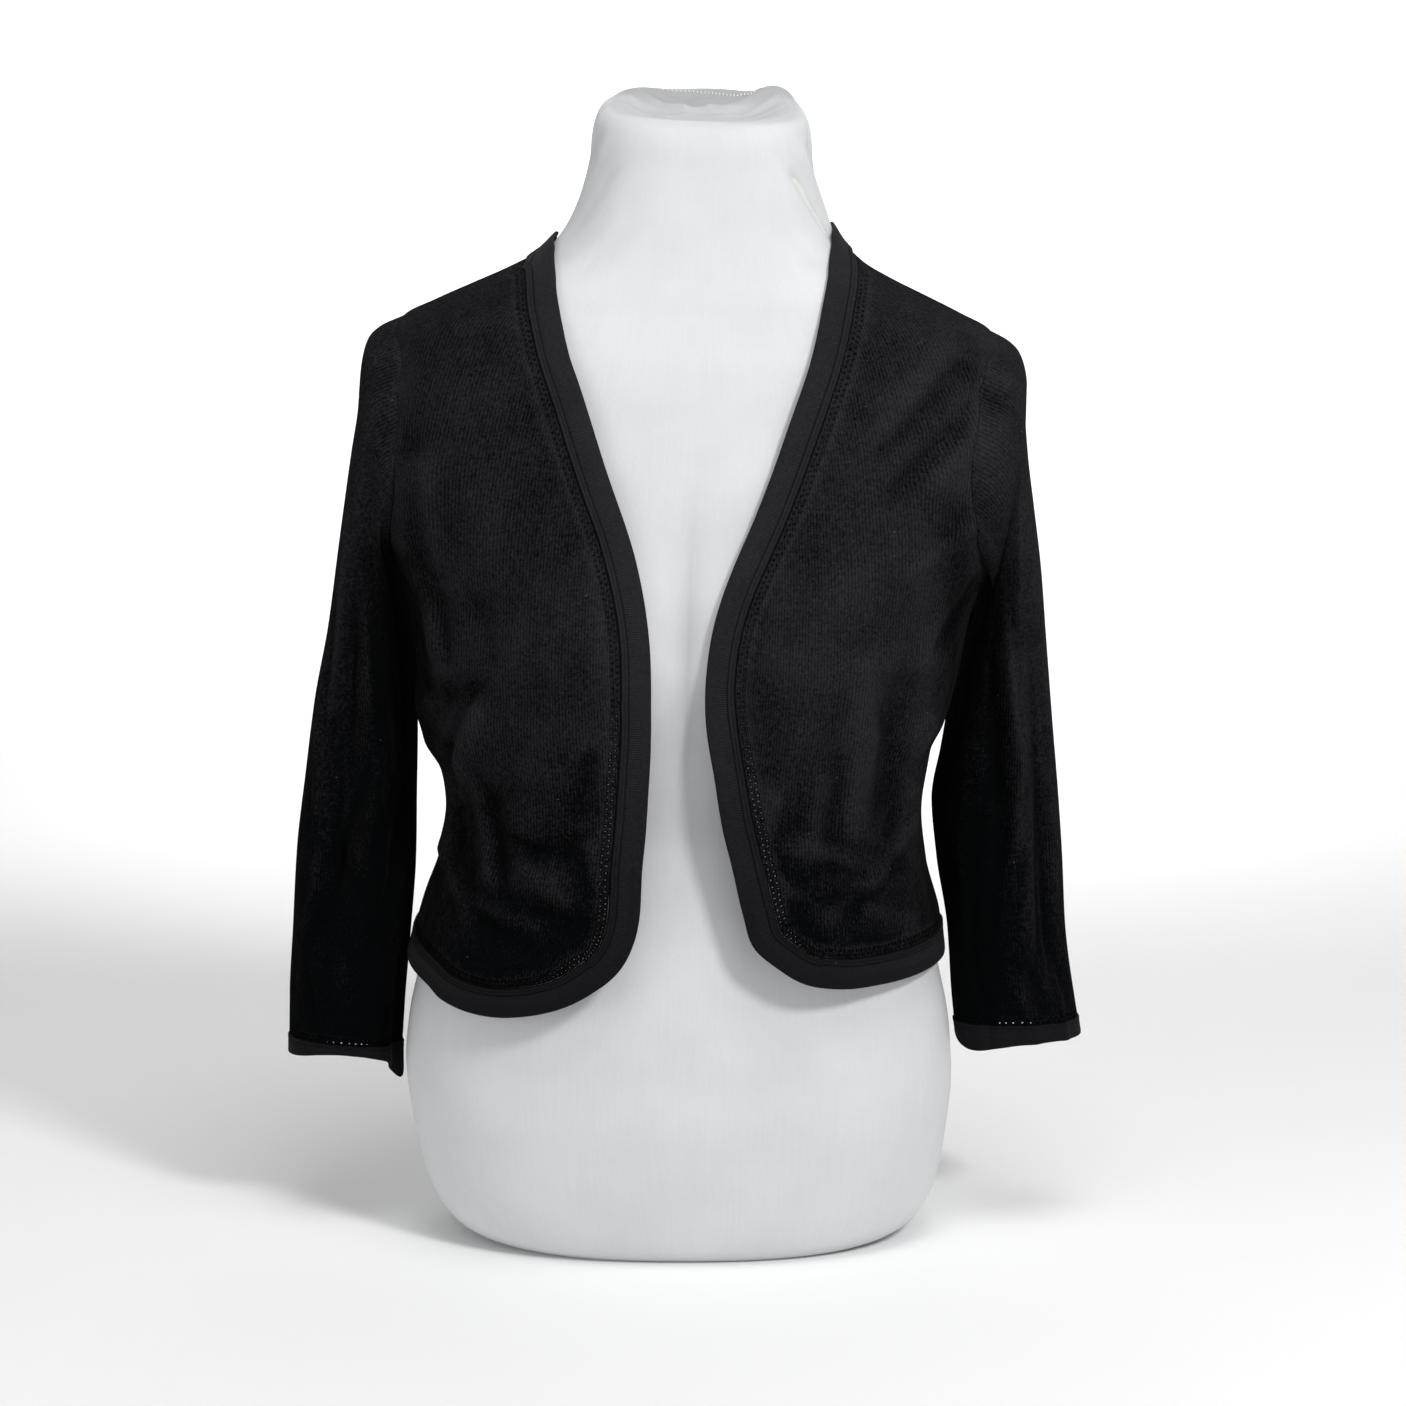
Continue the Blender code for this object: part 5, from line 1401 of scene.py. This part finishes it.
def black_knit_finish():
    """Fine matte jersey knit: columns of V stitches, a little fuzz and lint."""
    finish = Finish("black_knit", "black_knit")
    across, along = finish.cut_place()
    column = (across / WALE).part()
    lean = (column - 0.5).size()
    rounded = (column * np.pi).sine()
    stitch = ((along / COURSE + lean) * TAU).sine()
    fuzz = finish.noise(*KNIT_FUZZ)
    grain = finish.noise(*GRAIN)
    mottle = finish.noise(*MOTTLE)
    height = rounded * 0.55 + stitch * rounded * 0.25 + fuzz * 0.4 + grain * 0.8
    # painted light: the knit is lighter higher up and darker toward the hem, where less light falls
    lit = finish.place("Z").step(*KNIT_PAINTED_LIGHT_Z) * 0.46
    # painted shade under the arms: below the underarm, the body's sides are darkened most and the
    # sleeves less, where arm and body shade each other
    out = finish.place("X").size()
    underarm_shade = out.step(*SHADE_BODY_SIDE_X) * 0.5 - out.step(*SHADE_SLEEVE_X) * 0.38
    underarm_shade = underarm_shade * (1 - finish.place("Z").step(*UNDERARM_SHADE_END_Z))
    shade = mottle * 0.5 + rounded * 0.35 + fuzz * 0.15 + grain * 1.9 + lit - underarm_shade - KNIT_LEVEL
    # painted light: the black is lighter toward the right, where the key light stands, and darker toward
    # the left
    # painted shade and highlight: the knit darker in its creases and lighter on its ridges
    shade = shade + finish.raised() * 0.20 + finish.place("X") * 0.4
    colour = finish.blend(shade, KNIT_DARK, KNIT_LIGHT)
    colour = finish.blend(finish.lint() * 0.3, colour, LINT_COLOUR)
    crumple = finish.bump(finish.noise(*KNIT_CRUMPLE), 0.0075, 0.8)
    soft = finish.bump(finish.noise(*KNIT_SOFT), 0.0010, 0.5, crumple)
    normal = finish.bump(height, 0.00035, 0.6, soft)
    return finish.surface(
        Base_Color=colour, Roughness=0.95, Normal=normal, Sheen_Weight=0.02, Sheen_Roughness=0.5,
        Sheen_Tint=KNIT_SHEEN, Specular_IOR_Level=0.0,
    )


def black_trim_finish():
    """The folded strips: a plain edge, a zone of fine ribs along it, a stitched line and the seam, with
    painted shade in the grooves of both.
    """
    finish = Finish("black_trim", "black_trim")
    along, across = finish.cut_place()
    start, full, end, gone = RIB_ZONE
    ribbed = across.step(start, full) * (1 - across.step(end, gone))
    line = ((along / TRIM_LINE) * TAU).sine() * (ribbed * 0.85 + 0.15)
    fine = ((across / TRIM_COURSE) * TAU).sine()
    fuzz = finish.noise(*TRIM_FUZZ)
    grain = finish.noise(*GRAIN)
    mottle = finish.noise(*MOTTLE)
    # painted light: the trim is lighter higher up and darker at the hem and cuffs, where less light
    # falls
    lit = finish.place("Z").step(*TRIM_PAINTED_LIGHT_Z) * 0.70
    shade = mottle * 0.35 + line * 0.30 + fuzz * 0.15 + grain * 1.2 + lit - TRIM_LEVEL
    colour = finish.blend(shade, TRIM_DARK, TRIM_LIGHT)
    colour = finish.blend(finish.lint() * 0.5, colour, LINT_COLOUR)
    # painted shade: the grooves of the stitched line and of the seam beside the panel are darkened
    # toward near black
    stitched = 1 - ((across - TRIM_STITCH_LINE) / TRIM_STITCH_WIDE).size().step(0.4, 1.0)
    seam = across.step(BAND_WIDTH - SEAM_SHADE_FROM, BAND_WIDTH - SEAM_SHADE_FULL)
    colour = finish.blend(stitched * 0.6, colour, GROOVE_SHADE_BLACK)
    colour = finish.blend(seam * 0.95, colour, GROOVE_SHADE_BLACK)
    soft = finish.bump(finish.noise(*TRIM_SOFT), 0.0006, 0.4)
    normal = finish.bump(line * 0.7 + fine * 0.15 + fuzz * 0.4 + grain * 0.3, 0.00035, 0.6, soft)
    return finish.surface(
        Base_Color=colour, Roughness=0.92, Normal=normal, Sheen_Weight=0.03, Sheen_Roughness=0.45,
        Sheen_Tint=TRIM_SHEEN, Specular_IOR_Level=0.08,
    )


def white_jersey_finish():
    """Stretched white jersey: faint columns, a soft grain, streaks and a few dull patches."""
    finish = Finish("white_jersey", "white_jersey")
    across, along = finish.cut_place()
    wales = ((across / JERSEY_WALE) * TAU).sine()
    grain = finish.noise(*JERSEY_GRAIN)
    patch = finish.noise(*JERSEY_PATCH)
    place = finish.node("ShaderNodeCombineXYZ", {}, {0: across * 420.0, 1: along * 26.0})
    inputs = {"Vector": place, "Scale": 1.0, "Detail": 3.0}
    streak = finish.node("ShaderNodeTexNoise", {}, inputs, "Fac")
    shade = patch * 0.5 + grain * 0.3 + streak * 0.2
    colour = finish.blend(shade.step(0.25, 0.75), JERSEY_SHADE, JERSEY_WHITE)
    # painted shade: the cover greyer on the recessed cap and in a strip behind the rim at the back
    behind = along.step(*CAP_SHADE_BEHIND_ALONG) * finish.place("Y").step(*CAP_SHADE_BEHIND_Y)
    over = (along + finish.place("X").size() * 0.16).step(*CAP_SHADE_OVER_ALONG)
    colour = finish.blend(over * 0.40 + behind * 0.5, colour, COVER_PAINTED_SHADE)
    # painted shade: the cover greyer in its hollows
    colour = finish.blend(finish.raised() * -0.6, colour, COVER_PAINTED_SHADE)
    normal = finish.bump(grain * 0.7 + wales * 0.2 + streak * 0.3, 0.00028, 0.4)
    return finish.surface(
        Base_Color=colour, Roughness=0.72, Normal=normal, Sheen_Weight=0.12, Sheen_Roughness=0.5,
        Sheen_Tint=(1, 1, 1, 1), Specular_IOR_Level=0.3,
    )


def foam_finish():
    """The pale foam of the form, seen only under the cover."""
    finish = Finish("form_foam", "white_jersey")
    pores = finish.noise(*FOAM_PORES)
    colour = finish.blend(pores, FOAM_DARK, FOAM_LIGHT)
    return finish.surface(Base_Color=colour, Roughness=0.9, Normal=finish.bump(pores, 0.0006, 0.5))


def thread_finish():
    """White sewing thread."""
    finish = Finish("white_thread", "white_jersey")
    twist = finish.noise(*THREAD_TWIST)
    colour = finish.blend(twist, THREAD_DARK, THREAD_LIGHT)
    return finish.surface(Base_Color=colour, Roughness=0.55, Normal=finish.bump(twist, 0.0002, 0.4))


def add_floor():
    """A pale sweep to stand on, which bends up behind the form."""
    bend = np.radians(np.linspace(10, 90, 9))
    rows = [
        (-SWEEP_REACH, 0.0),
        (SWEEP_BACK, 0.0),
        *((SWEEP_BACK + SWEEP_ROUND * np.sin(t), SWEEP_ROUND - SWEEP_ROUND * np.cos(t)) for t in bend),
        (SWEEP_BACK + SWEEP_ROUND, SWEEP_TOP),
    ]
    points = [(x, y, z) for y, z in rows for x in (-SWEEP_REACH, SWEEP_REACH)]
    faces = [(2 * i, 2 * i + 1, 2 * i + 3, 2 * i + 2) for i in range(len(rows) - 1)]
    mesh = bpy.data.meshes.new("sweep")
    mesh.from_pydata(points, [], faces)
    mesh.shade_smooth()
    paper = Finish("pale_floor", "")
    tone = paper.blend(paper.noise(3.0), FLOOR_DARK, FLOOR_LIGHT)
    mesh.materials.append(paper.surface(Base_Color=tone, Roughness=0.9))
    link(bpy.data.objects.new("sweep", mesh))


def add_lights():
    """Even light from all round, and the lamps."""
    world = bpy.data.worlds.new("studio")
    bpy.context.scene.world = world
    world.use_nodes = True
    background = world.node_tree.nodes["Background"]
    background.inputs["Color"].default_value = (1.0, 1.0, 1.0, 1)
    background.inputs["Strength"].default_value = WORLD_LIGHT
    for lamp in LAMPS:
        light = bpy.data.lights.new(lamp.name, "AREA")
        light.shape = "DISK"
        light.size = lamp.size
        light.energy = lamp.watts
        holder = link(bpy.data.objects.new(lamp.name, light))
        holder.location = (lamp.x, lamp.y, lamp.z)
        aim = Vector((0, lamp.aim_y, lamp.aim_z)) - holder.location
        holder.rotation_euler = aim.to_track_quat("-Z", "Y").to_euler()


def add_camera():
    camera = bpy.data.cameras.new("camera")
    camera.sensor_width = CAMERA_SENSOR
    camera.lens = CAMERA_LENS
    holder = link(bpy.data.objects.new("camera", camera))
    holder.location = CAMERA_PLACE
    holder.rotation_euler = (np.radians(90 - CAMERA_DOWN), 0, 0)
    bpy.context.scene.camera = holder
    bpy.context.scene.view_settings.view_transform = "Standard"


def main():
    knit = black_knit_finish()
    trim = black_trim_finish()
    jersey = white_jersey_finish()
    core = add_core(foam_finish())
    cover = add_cover(jersey)
    stitches = add_rim_stitches(thread_finish())
    back = add_back(knit)
    for side, sign in SIDES.items():
        front = add_front(side, knit)
        band = add_band("band_" + side, opening_path(side), sign, trim)
        sleeve, cuff = add_sleeve(side, knit, trim)
    hem = add_band("band_hem_back", hem_back_path(), 1, trim)
    neck = add_band("band_neck", neck_back_path(), -1, trim)
    add_floor()
    add_lights()
    add_camera()


main()
